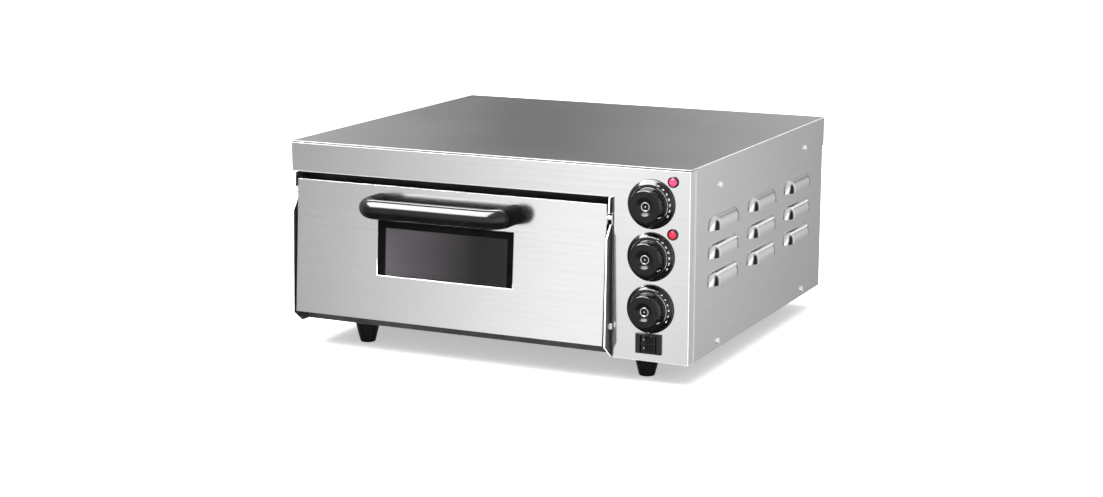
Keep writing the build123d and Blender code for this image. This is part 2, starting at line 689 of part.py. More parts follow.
def knob_outline():
    """Half section of a knob as (radius, height above the panel), hollow behind the skirt."""
    face = KNOB_FACE
    return [
        Line((SHAFT_R + 0.02, KNOB_CLEAR + 2), (SHAFT_R + 0.02, SHAFT_FRONT + 0.3)),
        Line((SHAFT_R + 0.02, SHAFT_FRONT + 0.3), (0, SHAFT_FRONT + 0.3)),
        Line((0, SHAFT_FRONT + 0.3), (0, face - 3.6)),
        Line((0, face - 3.6), (5.5, face - 3.4)),
        ThreePointArc((5.5, face - 3.4), (8.6, face - 2.0), (11.0, face - 0.3)),
        ThreePointArc((11.0, face - 0.3), (11.8, face - 0.05), (12.8, face)),
        Line((12.8, face), (GRIP_R - 2.2, face)),
        ThreePointArc((GRIP_R - 2.2, face), (GRIP_R - 0.8, face - 0.5), (GRIP_R - 0.3, face - 1.8)),
        Line((GRIP_R - 0.3, face - 1.8), (GRIP_R + 0.3, 10.4)),
        ThreePointArc((GRIP_R + 0.3, 10.4), (GRIP_R + 0.7, 9.5), (GRIP_R + 1.7, 9.1)),
        ThreePointArc((GRIP_R + 1.7, 9.1), (SKIRT_R - 2.6, 6.9), (SKIRT_R, 2.9)),
        Line((SKIRT_R, 2.9), (SKIRT_R, KNOB_CLEAR)),
        Line((SKIRT_R, KNOB_CLEAR), (SKIRT_R - 2, KNOB_CLEAR)),
        ThreePointArc((SKIRT_R - 2, KNOB_CLEAR), (SKIRT_R - 4.2, 4.6), (GRIP_R + 0.5, 6.6)),
        Line((GRIP_R + 0.5, 6.6), (GRIP_R - 2.2, 6.8)),
        Line((GRIP_R - 2.2, 6.8), (GRIP_R - 2.2, 15)),
        Line((GRIP_R - 2.2, 15), (7, 15)),
        Line((7, 15), (7, KNOB_CLEAR + 2)),
        Line((7, KNOB_CLEAR + 2), (SHAFT_R + 0.02, KNOB_CLEAR + 2)),
    ]


def knobs():
    """Three round knobs with a domed skirt, each with its own shaft."""
    section = Rot(90, 0, 0) * make_face(knob_outline())
    knob = revolve(section, axis=Axis.Z)
    shaft = rod(SHAFT_R, (0, SHAFT_BACK, 0), SHAFT_BACK + SHAFT_FRONT, "-Y")
    for name, z in KNOB_Z.items():
        save(f"knob_{name}", Pos(PANEL_MIDDLE, 0, z) * Rot(90, 0, 0) * knob)
        save(f"shaft_{name}", Pos(PANEL_MIDDLE, 0, z) * shaft)


LAMP_STEM_R = 5.0
LENS_R = 5.6
LENS_DOME = 2.4
LENS_SEAT = 0.6
LENS_EDGE = 1.4


def lamps():
    """Two indicator lamps: a dark bezel with a stem through the panel, and a domed lens."""
    bezel = rod(LAMP_R, (0, 0, 0), 1.8, "-Y")
    bezel = fillet(bezel.edges().group_by(Axis.Y)[0], 0.6)
    bezel += rod(LAMP_STEM_R, (0, 0, 0), 24, "Y")
    bezel -= rod(LENS_R + 0.05, (0, -LENS_SEAT, 0), 3, "-Y")
    crown = (LENS_R**2 + LENS_DOME**2) / (2 * LENS_DOME)
    ball = Pos(0, crown - LENS_EDGE - LENS_DOME, 0) * Sphere(crown)
    lens = rod(LENS_R, (0, -LENS_SEAT, 0), 2 * LENS_DOME, "-Y") & ball
    save("lamp_bezels", *[Pos(LAMP_X, 0, z) * bezel for z in LAMP_Z])
    save("lamp_lenses", *[Pos(LAMP_X, 0, z) * lens for z in LAMP_Z])


SWITCH_FLANGE = 2.5
SWITCH_RIM = 1.6
SWITCH_DEPTH = 24.0
ROCKER_PIN_R = 1.0
ROCKER_PIN = 0.4
ROCKER_GAP = 0.3
SWITCH_SPADE_X = (-8.0, 0.0, 8.0)
SWITCH_SPADE = (2.4, 8.0, 0.4)


def rocker_places():
    middle = (SWITCH_X, ROCKER_PIVOT_Y)
    return {
        "rocker_upper": (*middle, SWITCH_Z + ROCKER_PITCH / 2),
        "rocker_lower": (*middle, SWITCH_Z - ROCKER_PITCH / 2),
    }


def switch_housing():
    """Twin switch body: a bezel on the panel, a case behind it, and a pocket for each rocker."""
    half = SWITCH_WIDTH / 2
    rise = SWITCH_HEIGHT / 2
    bezel = block((-half, half), (-SWITCH_PROUD, 0), (-rise, rise))
    bezel = fillet(bezel.edges().filter_by(Axis.Y), 1.2)
    bezel = chamfer(bezel.faces().sort_by(Axis.Y)[0].edges(), 0.7)
    case_x = half - SWITCH_FLANGE
    case_z = rise - SWITCH_RIM
    housing = bezel + block((-case_x, case_x), (0, SWITCH_DEPTH), (-case_z, case_z))
    spade, long, thin = SWITCH_SPADE
    for x in SWITCH_SPADE_X:
        back = (SWITCH_DEPTH, SWITCH_DEPTH + long)
        housing += block((x - spade, x + spade), back, (-thin, thin))
    housing = Pos(SWITCH_X, 0, SWITCH_Z) * housing
    for x, y, z in rocker_places().values():
        reach = ROCKER_HALF + 1.2
        tall = ROCKER_HEIGHT / 2 + ROCKER_GAP
        housing -= block((x - reach, x + reach), (-5, 8), (z - tall, z + tall))
        bore = ROCKER_HEIGHT / 2 + ROCKER_PIN + 0.1
        housing -= rod(ROCKER_PIN_R + RUNNING, (x, y, z - bore), 2 * bore, "Z")
    save("switch_housing", housing)


def rockers():
    """Each rocker is dished towards its middle, turns on two pins, and rests with one end in."""
    high = 3.6
    front = [(-ROCKER_HALF, -high), (0, -high / 2), (ROCKER_HALF, -high)]
    outline = front + [(ROCKER_HALF, 2), (-ROCKER_HALF, 2)]
    body = extrude(make_face(Polyline(*outline, close=True)), amount=ROCKER_HEIGHT / 2, both=True)
    body = fillet(body.edges().filter_by(Axis.Z).sort_by(Axis.Y)[:2], 0.8)
    pin = ROCKER_HEIGHT / 2 + ROCKER_PIN
    body += rod(ROCKER_PIN_R, (0, 0, -pin), 2 * pin, "Z")
    for name, place in rocker_places().items():
        save(name, Pos(*place) * Rot(0, 0, -ROCKER_TILT) * body)


GLAND_X = 228.0
GLAND_Z = 42.0
GLAND_R = 8.0
GLAND_BORE = 4.2
GLAND_INSIDE = 14.0
GLAND_FLANGE_R = 11.5
GLAND_NUT_R = 12.5
GLAND_NUT = 4.0


def cable_gland():
    """Empty cable gland in the back of the control bay: a flange outside and a nut inside."""
    gland = rod(GLAND_R, (0, BODY_BACK - GLAND_INSIDE, 0), GLAND_INSIDE, "Y")
    dome = rod(GLAND_FLANGE_R, (0, BODY_BACK, 0), REAR_OVERHANG - 0.5, "Y")
    gland += chamfer(dome.edges().group_by(Axis.Y)[-1], 1.5)
    hexagon = extrude(RegularPolygon(GLAND_NUT_R, 6), amount=GLAND_NUT)
    gland += Pos(0, BODY_BACK - SHEET, 0) * Rot(90, 0, 0) * hexagon
    gland -= rod(GLAND_BORE, (0, BODY_BACK - 2 * GLAND_INSIDE, 0), 4 * GLAND_INSIDE, "Y")
    save("cable_gland", Pos(GLAND_X, 0, GLAND_Z) * gland)


BLOCK_LEFT = 205.0
BLOCK_LENGTH = 46.0
BLOCK_FRONT = 420.0
BLOCK_WIDTH = 22.0
BLOCK_TOP = 18.0
BOSS_R = 3.5
BOSS = 3.0
BOSS_PITCH = 15.0
BOSS_SPREAD = 4.5


def terminal_block():
    """Porcelain terminal block on the floor of the control bay."""
    x = (BLOCK_LEFT, BLOCK_LEFT + BLOCK_LENGTH)
    body = block(x, (BLOCK_FRONT, BLOCK_FRONT + BLOCK_WIDTH), (SHEET, BLOCK_TOP))
    body = chamfer(body.edges().filter_by(Axis.X).group_by(Axis.Z)[-1], 2.0)
    middle = BLOCK_FRONT + BLOCK_WIDTH / 2
    for i in (-1, 0, 1):
        for side in (-BOSS_SPREAD, BOSS_SPREAD):
            place = (BLOCK_LEFT + BLOCK_LENGTH / 2 + i * BOSS_PITCH, middle + side, BLOCK_TOP)
            body += rod(BOSS_R, place, BOSS, "Z")
    save("terminal_block", body)


# Door ----------------------------------------------------------------------------------------

def door_block(x, depth, rise):
    """A box given in the door's own frame: X, depth behind the face, distance up the face."""
    return DOOR_PLACE * block(x, depth, rise)


def door_outer_skin():
    """Folded tray: the face, four returned edges, and a hem round the window."""
    edge_x = (DOOR_LEFT, DOOR_RIGHT)
    tray = door_block(edge_x, (0, DOOR_BOX - SHEET), (0, DOOR_RISE))
    inner_x = (DOOR_LEFT + DOOR_SKIN, DOOR_RIGHT - DOOR_SKIN)
    tray -= door_block(inner_x, (DOOR_SKIN, DOOR_BOX), (DOOR_SKIN, DOOR_RISE - DOOR_SKIN))
    hem_x = (WINDOW_LEFT - WINDOW_HEM, WINDOW_RIGHT + WINDOW_HEM)
    hem_rise = (WINDOW_LOW - WINDOW_HEM, WINDOW_HIGH + WINDOW_HEM)
    tray += door_block(hem_x, (DOOR_SKIN, WINDOW_HEM_DEPTH), hem_rise)
    tray -= door_block((WINDOW_LEFT, WINDOW_RIGHT), (-1, DOOR_BOX), (WINDOW_LOW, WINDOW_HIGH))
    across = DOOR_RIGHT - DOOR_LEFT + 2
    clear = PIVOT_R + 0.6
    tray -= rod(clear, (DOOR_LEFT - 1, PIVOT_Y, PIVOT_Z), across, "X")
    tray -= rod(PIN_R + RUNNING, (DOOR_LEFT - 1, PIN_Y, PIN_Z), across, "X")
    for x in handle_legs():
        tray -= rod(HANDLE_BOLT_R + FIT_GAP, (x, DOOR_FOOT_Y, HANDLE_Z), 2 * DOOR_BOX, "Y")
    save("door_outer_skin", tray)


LINER_LEFT = -258.0
LINER_RIGHT = 160.0
LINER_LOW = 50.0
LINER_HIGH = 184.0
LINER_BACK = 14.0
TUNNEL = 6.0
GASKET_BACK = GLASS_FRONT + GLASS_THICKNESS + 1.2
FAR = 400.0


def behind_face(depth):
    """Everything behind a plane parallel to the door's face."""
    return door_block((-FAR, FAR), (depth, FAR), (-FAR, FAR))


def door_inner_liner():
    """Back of the door: a lid on the tray, with a plug whose upright back meets the seal."""
    lid = door_block(
        (DOOR_LEFT + DOOR_SKIN + FIT_GAP, DOOR_RIGHT - DOOR_SKIN - FIT_GAP),
        (DOOR_BOX - SHEET, DOOR_BOX),
        (DOOR_SKIN + FIT_GAP, DOOR_RISE - DOOR_SKIN - FIT_GAP),
    )
    plug = block((LINER_LEFT, LINER_RIGHT), (-10, LINER_BACK), (LINER_LOW, LINER_HIGH))
    hollow = block(
        (LINER_LEFT + SHEET, LINER_RIGHT - SHEET),
        (-12, LINER_BACK - SHEET),
        (LINER_LOW + SHEET, LINER_HIGH - SHEET),
    )
    back = behind_face(DOOR_BOX - SHEET)
    liner = lid + (plug & back) - (hollow & back)
    tube_x = (WINDOW_LEFT - TUNNEL, WINDOW_RIGHT + TUNNEL)
    tube_z = (WINDOW_LOW - TUNNEL, WINDOW_HIGH + TUNNEL)
    bore_x = (tube_x[0] + SHEET, tube_x[1] - SHEET)
    bore_z = (tube_z[0] + SHEET, tube_z[1] - SHEET)
    front_of_back = block((-FAR, FAR), (-FAR, LINER_BACK), (-FAR, FAR))
    liner += door_block(tube_x, (GASKET_BACK, FAR), tube_z) & front_of_back
    liner -= door_block(bore_x, (0, FAR), bore_z)
    save("door_inner_liner", liner)


def glass_and_gasket():
    """Window pane held in a black gasket; the lower border hides behind the door's face."""
    x = (WINDOW_LEFT + GASKET_BORDER, WINDOW_RIGHT - GASKET_BORDER)
    rise = (WINDOW_LOW - 0.5, WINDOW_HIGH - GASKET_BORDER)
    bite = 5.0
    pane_x = (x[0] - bite, x[1] + bite)
    pane_rise = (rise[0] - bite, rise[1] + bite)
    pane_depth = (GLASS_FRONT, GLASS_FRONT + GLASS_THICKNESS)
    outer_x = (WINDOW_LEFT - GASKET_FLANGE, WINDOW_RIGHT + GASKET_FLANGE)
    outer_rise = (pane_rise[0] - GASKET_FLANGE, WINDOW_HIGH + GASKET_FLANGE)
    gasket = door_block(outer_x, (WINDOW_HEM_DEPTH, GASKET_BACK), outer_rise)
    gasket -= door_block(pane_x, pane_depth, pane_rise)
    gasket -= door_block(x, (0, DOOR_BOX), rise)
    save("glass_gasket", gasket)
    save("door_glass", door_block(pane_x, pane_depth, pane_rise))


WOOL_INSET = 20.0
WOOL_RISE = (38.0, 143.0)
WOOL_GAP = 0.4
WOOL_UNDER_WINDOW = 12.0


def door_insulation():
    """Wool between the face and the liner's lid, cut away round the window."""
    wool = door_block(
        (DOOR_LEFT + WOOL_INSET, DOOR_RIGHT - WOOL_INSET),
        (DOOR_SKIN + WOOL_GAP, DOOR_BOX - SHEET - WOOL_GAP),
        WOOL_RISE,
    )
    wool -= door_block(
        (WINDOW_LEFT - TUNNEL - 1, WINDOW_RIGHT + TUNNEL + 1),
        (0, 2 * DOOR_BOX),
        (WINDOW_LOW - WOOL_UNDER_WINDOW, WINDOW_HIGH + TUNNEL + 1),
    )
    save("door_insulation", wool)


SEAL_CLEAR = 0.4


def door_seal():
    """Woven seal round the plug, just clear of the chamber's frame."""
    y = (LINER_BACK, FRAME_Y - SEAL_CLEAR)
    ring = block((LINER_LEFT + 0.5, LINER_RIGHT - 0.5), y, (LINER_LOW + 0.5, LINER_HIGH - 1))
    inside = block(
        (CHAMBER_LEFT - 1.5, CHAMBER_RIGHT + 1.5),
        (0, 2 * LINER_BACK),
        (CHAMBER_FLOOR - 0.8, CHAMBER_CEILING + 1),
    )
    save("door_seal", ring - inside)


def handle_legs():
    """X of the handle's two legs."""
    return (DOOR_MIDDLE - HANDLE_REACH, DOOR_MIDDLE + HANDLE_REACH)


def door_handle():
    """Thick round D-handle whose legs end flat against the door's sloping face."""
    left, right = handle_legs()
    back = DOOR_BOX
    points = [
        (left, back, HANDLE_Z),
        (left, HANDLE_Y, HANDLE_Z),
        (right, HANDLE_Y, HANDLE_Z),
        (right, back, HANDLE_Z),
    ]
    path = FilletPolyline(*points, radius=HANDLE_BEND)
    section = Plane(origin=points[0], z_dir=(0, -1, 0)) * Circle(HANDLE_R)
    handle = sweep(section, path=path) - behind_face(0)
    for x in handle_legs():
        depth = 2 * HANDLE_BOLT_LENGTH
        handle -= rod(HANDLE_BOLT_R + 0.1, (x, -HANDLE_BOLT_LENGTH, HANDLE_Z), depth, "Y")
    save("door_handle", handle)


HANDLE_BOLT_R = 3.0
HANDLE_BOLT_LENGTH = 28.0
WASHER_R = 6.5
WASHER = 1.2
BOLT_HEAD_R = 4.8
BOLT_HEAD = 2.8


def handle_bolts():
    """Bolts through the door's face into the handle's legs; their heads are inside the door."""
    bolts = []
    across = (DOOR_LEFT, DOOR_RIGHT)
    seat = DOOR_SKIN + WASHER
    end = seat + BOLT_HEAD
    long = 2 * HANDLE_BOLT_LENGTH
    for x in handle_legs():
        start = (x, 0.5 - HANDLE_BOLT_LENGTH, HANDLE_Z)
        shank = rod(HANDLE_BOLT_R, start, long, "Y") - behind_face(end)
        washer_slice = door_block(across, (DOOR_SKIN, seat), (0, DOOR_RISE))
        head_slice = door_block(across, (seat, end), (0, DOOR_RISE))
        washer = rod(WASHER_R, start, long, "Y") & washer_slice
        bolts.append(shank + washer + (rod(BOLT_HEAD_R, start, long, "Y") & head_slice))
    save("handle_bolts", *bolts)


BEARING_DEPTH = 4.6
BEARING_RISE = 8.0


def door_pivot_blocks():
    """Bearing blocks inside the door's lower corners, which turn on the pivot bolts."""
    length = PIVOT_INTO_DOOR + 2
    middle = (DOOR_PLACE.inverse() * Pos(0, PIVOT_Y, PIVOT_Z)).position
    depth = (middle.Y - BEARING_DEPTH, middle.Y + BEARING_DEPTH)
    rise = (middle.Z - BEARING_RISE, middle.Z + BEARING_RISE)
    blocks = []
    for x in (
        (DOOR_LEFT + DOOR_SKIN, DOOR_LEFT + DOOR_SKIN + length),
        (DOOR_RIGHT - DOOR_SKIN - length, DOOR_RIGHT - DOOR_SKIN),
    ):
        bore = rod(PIVOT_R + RUNNING, (x[0] - 1, PIVOT_Y, PIVOT_Z), length + 2, "X")
        blocks.append(door_block(x, depth, rise) - bore)
    save("door_pivot_blocks", *blocks)


def door_side_pins():
    """Round-nosed pins near the door's top corners, which rest in the hinge plates' notches."""
    length = 16.0
    pin = rod(PIN_R, (0, 0, 0), length + PIN_PROUD, "X")
    pin = fillet(pin.edges().group_by(Axis.X)[-1], 1.2)
    right = Pos(DOOR_RIGHT - length, PIN_Y, PIN_Z) * pin
    left = Pos(DOOR_LEFT + length, PIN_Y, PIN_Z) * Rot(0, 0, 180) * pin
    save("door_side_pins", left, right)


def main():
    os.makedirs("parts", exist_ok=True)
    casing_screws()
    top_cover()
    front_panel()
    right_side_panel()
    left_side_panel()
    rear_panel()
    base_pan()
    control_bay_wall()
    recess_panel()
    feet()
    foot_screws()
    hinge_plates()
    pivot_bolts()
    chamber_front_frame()
    chamber_walls()
    insulation()
    heating_element("upper_element", UPPER_ELEMENT_Z)
    heating_element("lower_element", LOWER_ELEMENT_Z)
    chamber_clips()
    sensor_bulbs()
    stone_and_rails()
    regulators()
    knobs()
    lamps()
    switch_housing()
    rockers()
    cable_gland()
    terminal_block()
    door_outer_skin()
    door_inner_liner()
    glass_and_gasket()
    door_insulation()
    door_seal()
    door_handle()
    handle_bolts()
    door_pivot_blocks()
    door_side_pins()


main()
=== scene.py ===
import json
from cmath import phase, rect
from math import cos, hypot, pi, radians, sin, tan

import bmesh
import bpy
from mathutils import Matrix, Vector, noise

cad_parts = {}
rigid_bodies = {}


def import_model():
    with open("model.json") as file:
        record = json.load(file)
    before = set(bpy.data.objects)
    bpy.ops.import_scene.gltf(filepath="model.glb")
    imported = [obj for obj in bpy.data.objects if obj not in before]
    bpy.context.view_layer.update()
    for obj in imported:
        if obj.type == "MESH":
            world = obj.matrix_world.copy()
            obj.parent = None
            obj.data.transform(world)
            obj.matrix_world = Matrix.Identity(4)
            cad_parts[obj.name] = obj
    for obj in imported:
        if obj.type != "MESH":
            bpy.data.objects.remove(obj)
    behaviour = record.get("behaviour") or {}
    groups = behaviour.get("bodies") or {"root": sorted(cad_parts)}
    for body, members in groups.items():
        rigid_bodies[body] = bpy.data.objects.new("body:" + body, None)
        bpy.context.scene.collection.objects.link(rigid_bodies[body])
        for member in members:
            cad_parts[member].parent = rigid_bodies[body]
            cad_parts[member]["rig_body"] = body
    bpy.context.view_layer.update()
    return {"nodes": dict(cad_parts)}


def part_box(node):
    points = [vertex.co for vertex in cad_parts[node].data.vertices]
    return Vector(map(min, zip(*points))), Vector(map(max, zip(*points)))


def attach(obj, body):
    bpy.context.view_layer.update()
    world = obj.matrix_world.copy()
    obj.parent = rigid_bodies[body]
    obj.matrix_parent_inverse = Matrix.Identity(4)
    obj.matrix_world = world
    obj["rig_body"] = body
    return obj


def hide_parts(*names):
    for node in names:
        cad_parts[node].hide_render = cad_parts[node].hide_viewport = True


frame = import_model()

MM = 0.001
FORWARD = Vector((0, -1, 0))
UP = Vector((0, 0, 1))


# Node materials -----

class Nodes:
    """A node tree under construction, with short calls for the nodes it needs."""

    def __init__(self, tree, place):
        self.tree = tree
        self.place = self.node("ShaderNodeTexCoord", {}).outputs[place]

    def node(self, kind, inputs, **settings):
        """Adds a node; an input that is a socket is linked, and any other is a value."""
        made = self.tree.nodes.new(kind)
        for key, value in settings.items():
            setattr(made, key, value)
        for key, value in inputs.items():
            if isinstance(value, bpy.types.NodeSocket):
                self.tree.links.new(value, made.inputs[key])
            else:
                made.inputs[key].default_value = value
        return made

    def maths(self, operation, *values):
        """One sum on numbers or sockets."""
        return self.node("ShaderNodeMath", dict(enumerate(values)), operation=operation).outputs[0]

    def axes(self):
        """The x, y and z of the place that is being shaded."""
        return self.node("ShaderNodeSeparateXYZ", {0: self.place}).outputs

    def span(self, factor, low, high, start=0.3, end=0.7):
        """A number from low to high as factor goes from start to end."""
        values = {"Value": factor, "From Min": start, "From Max": end, "To Min": low, "To Max": high}
        return self.node("ShaderNodeMapRange", values).outputs[0]

    def mix(self, factor, first, second, way="MIX"):
        """The first colour where factor is 0, and the second where it is 1."""
        values = {"Fac": factor, "Color1": first, "Color2": second}
        return self.node("ShaderNodeMixRGB", values, blend_type=way).outputs[0]


class Paint(Nodes):
    """A Principled material under construction."""

    def __init__(self, name, **values):
        self.material = bpy.data.materials.new(name)
        self.material.use_nodes = True
        super().__init__(self.material.node_tree, "Object")
        self.shader = self.tree.nodes["Principled BSDF"]
        for label, value in values.items():
            self.shader.inputs[label.replace("_", " ")].default_value = value

    def noise(self, grains, detail=3, roughness=0.55, distortion=0):
        """Noise with so many grains in a metre: one number, or one each for x, y and z."""
        stretch = grains if isinstance(grains, tuple) else (grains, grains, grains)
        place = self.node("ShaderNodeMapping", {"Vector": self.place, "Scale": stretch})
        values = {"Vector": place.outputs[0], "Scale": 1, "Detail": detail}
        values |= {"Roughness": roughness, "Distortion": distortion}
        return self.node("ShaderNodeTexNoise", values).outputs[0]

    def cells(self, per_metre):
        """Distance to the nearest of many scattered points."""
        values = {"Vector": self.place, "Scale": per_metre}
        return self.node("ShaderNodeTexVoronoi", values).outputs["Distance"]

    def ramp(self, factor, low, high, start=0.3, end=0.7):
        """A colour from low to high as factor goes from start to end."""
        made = self.node("ShaderNodeValToRGB", {"Fac": factor})
        for element, place, colour in zip(made.color_ramp.elements, (start, end), (low, high)):
            element.position = place
            element.color = (*colour, 1)
        return made.outputs["Color"]

    def edge_wear_and_highlight(self, width, low=0.02, high=0.35):
        """1 where the surface turns sharply within width of the point, and 0 on flat areas."""
        bevel = self.node("ShaderNodeBevel", {"Radius": width}, samples=4)
        flat = self.node("ShaderNodeNewGeometry", {}).outputs["Normal"]
        values = {0: bevel.outputs[0], 1: flat}
        bend = self.node("ShaderNodeVectorMath", values, operation="DISTANCE").outputs["Value"]
        return self.span(bend, 0, 1, low, high)

    def bump(self, height, strength, distance):
        """Tilts the normals as if the surface rose with height, by up to distance in metres."""
        values = {"Height": height, "Strength": strength, "Distance": distance}
        bump = self.node("ShaderNodeBump", values)
        self.set("Normal", bump.outputs[0])

    def set(self, label, socket):
        self.tree.links.new(socket, self.shader.inputs[label])

    def done(self, colour, roughness, *relief):
        """Connects the colour, the roughness and any relief, and gives the finished material."""
        self.set("Base Color", colour)
        self.set("Roughness", roughness)
        if relief:
            self.bump(*relief)
        return self.material


def grey(value, tint=(1, 1, 1)):
    """A colour of one brightness, leaning towards tint."""
    return tuple(value * t for t in tint)


def brushed(name, grain, shade, rough):
    """Brushed sheet steel whose grain runs along one axis, with faint clouding and hand marks."""
    spread = 0.03
    marks = 0.35 * spread
    paint = Paint(name, Metallic=1)
    fine = paint.noise(tuple(24 if axis == grain else 2600 for axis in "xyz"), 2)
    streaks = paint.noise(tuple(3 if axis == grain else 260 for axis in "xyz"), 4, 0.6)
    clouds = paint.noise(5)
    base = paint.ramp(streaks, grey(shade * 0.975), grey(shade * 1.01, (1, 1, 0.995)))
    veil = paint.ramp(clouds, grey(0.975), grey(1))
    colour = paint.mix(1, base, veil, "MULTIPLY")
    grainy = paint.span(fine, rough - spread, rough + spread, 0.25, 0.75)
    roughness = paint.maths("ADD", grainy, paint.span(clouds, -marks, marks))
    return paint.done(colour, roughness, fine, 0.06, 0.00004)


def edge_highlight():
    """A pale satin finish for narrow edge faces: a painted highlight where light catches a sheet's
    cut edge.
    """
    paint = Paint("painted edge highlight", Metallic=0.25, IOR=1.5)
    strokes = paint.noise(700, 3, 0.6)
    colour = paint.ramp(strokes, grey(0.80), grey(0.97))
    return paint.done(colour, paint.span(strokes, 0.32, 0.50), strokes, 0.05, 0.00004)


def dark_steel():
    """Near-black plate in cloudy tones: its darkness is painted shade and dark reflection, and its
    brighter edges are a painted highlight.
    """
    paint = Paint("dark steel", Metallic=0.85)
    clouds = paint.noise(38, 5, 0.6)
    base = paint.ramp(clouds, grey(0.06), grey(0.13, (1, 0.97, 0.94)))
    # The pale mix along the edges is a painted highlight.
    edge = paint.edge_wear_and_highlight(0.0006)
    colour = paint.mix(edge, base, (0.55, 0.55, 0.56, 1))
    roughness = paint.span(clouds, 0.30, 0.46)
    return paint.done(colour, roughness, paint.noise(900, 2), 0.12, 0.00008)


def galvanised():
    """Zinc-coated sheet with its pattern of crystals."""
    paint = Paint("galvanised", Metallic=0.95)
    crystals = paint.node("ShaderNodeTexVoronoi", {"Vector": paint.place, "Scale": 85})
    tone = paint.node("ShaderNodeSeparateColor", {0: crystals.outputs["Color"]}).outputs[0]
    base = paint.ramp(tone, grey(0.42), grey(0.60, (0.98, 0.99, 1)), 0, 1)
    dirt = paint.noise(14, 4)
    colour = paint.mix(paint.span(dirt, 0, 0.35, 0.55, 0.8), base, (0.3, 0.3, 0.3, 1))
    roughness = paint.span(tone, 0.34, 0.52, 0, 1)
    return paint.done(colour, roughness, paint.noise(700, 2), 0.1, 0.00005)


def chamber_steel(name, shade):
    """Aluminised sheet that heat has straw-tinted in patches."""
    paint = Paint(name, Metallic=0.95)
    heat = paint.noise(7, 5, 0.6, 0.6)
    straw = grey(shade * 0.90, (1, 0.93, 0.80))
    base = paint.ramp(heat, straw, grey(shade, (1, 0.99, 0.98)), 0.38, 0.62)
    specks = paint.span(paint.cells(420), 0.25, 0, 0, 0.25)
    colour = paint.mix(specks, base, (0.24, 0.21, 0.18, 1))
    roughness = paint.span(heat, 0.46, 0.30)
    return paint.done(colour, roughness, paint.noise((1200, 60, 1200), 2), 0.1, 0.00005)


def bright_zinc():
    """Plated screws and pins, faintly marked."""
    paint = Paint("bright zinc", Metallic=0.6)
    marks = paint.noise(500)
    colour = paint.ramp(marks, grey(0.80), grey(0.96, (0.99, 1, 1)))
    return paint.done(colour, paint.span(marks, 0.18, 0.32), marks, 0.08, 0.00004)


def element_sheath():
    """Oxidised tube: brown-grey, with a scale of fine specks."""
    paint = Paint("element sheath", Metallic=0.8)
    heat = paint.noise(30, 4)
    base = paint.ramp(heat, grey(0.10, (1, 0.93, 0.86)), grey(0.24, (1, 0.94, 0.88)))
    flecks = paint.span(paint.noise(2200, 2), 0, 0.6, 0.55, 0.75)
    colour = paint.mix(flecks, base, (0.05, 0.045, 0.04, 1))
    return paint.done(colour, paint.span(heat, 0.42, 0.62), paint.noise(1500), 0.3, 0.0001)


def ceramic_wool():
    """Matted white fibres, in tufts of a paler and a darker cream."""
    paint = Paint("ceramic wool", Sheen_Weight=0.4, Sheen_Roughness=0.6)
    tufts = paint.noise(60, 5, 0.65, 1.2)
    fibres = paint.noise((1400, 240, 900), 3, 0.6, 2.5)
    base = paint.ramp(tufts, grey(0.66, (1, 0.97, 0.90)), grey(0.90, (1, 0.985, 0.95)))
    shade = paint.ramp(fibres, grey(0.80), grey(1), 0.35, 0.6)
    colour = paint.mix(1, base, shade, "MULTIPLY")
    return paint.done(colour, paint.span(fibres, 0.85, 0.98), fibres, 0.8, 0.0006)


def fire_clay():
    """Baking stone: pale buff clay with grog specks and the odd flour-brown scorch."""
    paint = Paint("fire clay")
    body = paint.noise(22, 5, 0.6)
    base = paint.ramp(body, grey(0.62, (1, 0.90, 0.75)), grey(0.76, (1, 0.93, 0.82)))
    grog = paint.span(paint.cells(520), 0.55, 0, 0.05, 0.28)
    speckled = paint.mix(grog, base, (0.38, 0.30, 0.22, 1))
    scorch = paint.span(paint.noise(9, 4, 0.5, 0.8), 0, 0.5, 0.58, 0.74)
    colour = paint.mix(scorch, speckled, (0.34, 0.22, 0.12, 1))
    roughness = paint.span(body, 0.82, 0.94)
    return paint.done(colour, roughness, paint.noise(900, 4, 0.7), 0.6, 0.0004)


def black_gloss(name, satin_from=None, satin_to=None):
    """Polished phenolic with an orange-peel ripple, going satin between two depths if given."""
    shine = 0.48
    paint = Paint(name, IOR=1.5, Specular_IOR_Level=shine)
    cloud = paint.noise(24, 4)
    base = paint.ramp(cloud, grey(0.002), grey(0.005, (1, 1, 1.05)))
    edge = paint.edge_wear_and_highlight(0.0007, 0.1, 0.7)
    colour = paint.mix(paint.span(edge, 0, 0.08, 0, 1), base, (0.2, 0.2, 0.2, 1))
    scuffs = paint.noise((60, 900, 900), 3, 0.6, 0.4)
    polish = paint.span(scuffs, 0.12, 0.20)
    if satin_from is not None:
        depth = paint.axes()[1]
        paint.set("Specular IOR Level", paint.span(depth, shine, 0.01, satin_from, satin_to))
        polish = paint.maths("ADD", polish, paint.span(depth, 0, 0.34, satin_from, satin_to))
    return paint.done(colour, polish, paint.noise(160, 2), 0.03, 0.0001)


def black_satin():
    """Moulded plastic with a fine spark-eroded texture."""
    paint = Paint("black satin", IOR=1.48, Specular_IOR_Level=0.3)
    texture = paint.noise(1800, 2)
    cloud = paint.noise(30)
    colour = paint.ramp(cloud, grey(0.003), grey(0.007, (1, 1, 1.04)))
    return paint.done(colour, paint.span(texture, 0.26, 0.42), texture, 0.12, 0.00006)


def knob_face():
    """The knob's flat front: satin, with a very fine grain."""
    paint = Paint("knob face", IOR=1.5, Specular_IOR_Level=0.25)
    cloud = paint.noise(50)
    grain = paint.noise(2400, 2)
    colour = paint.ramp(cloud, grey(0.004), grey(0.007, (1, 1, 1.06)))
    return paint.done(colour, paint.span(grain, 0.17, 0.25), grain, 0.05, 0.00004)


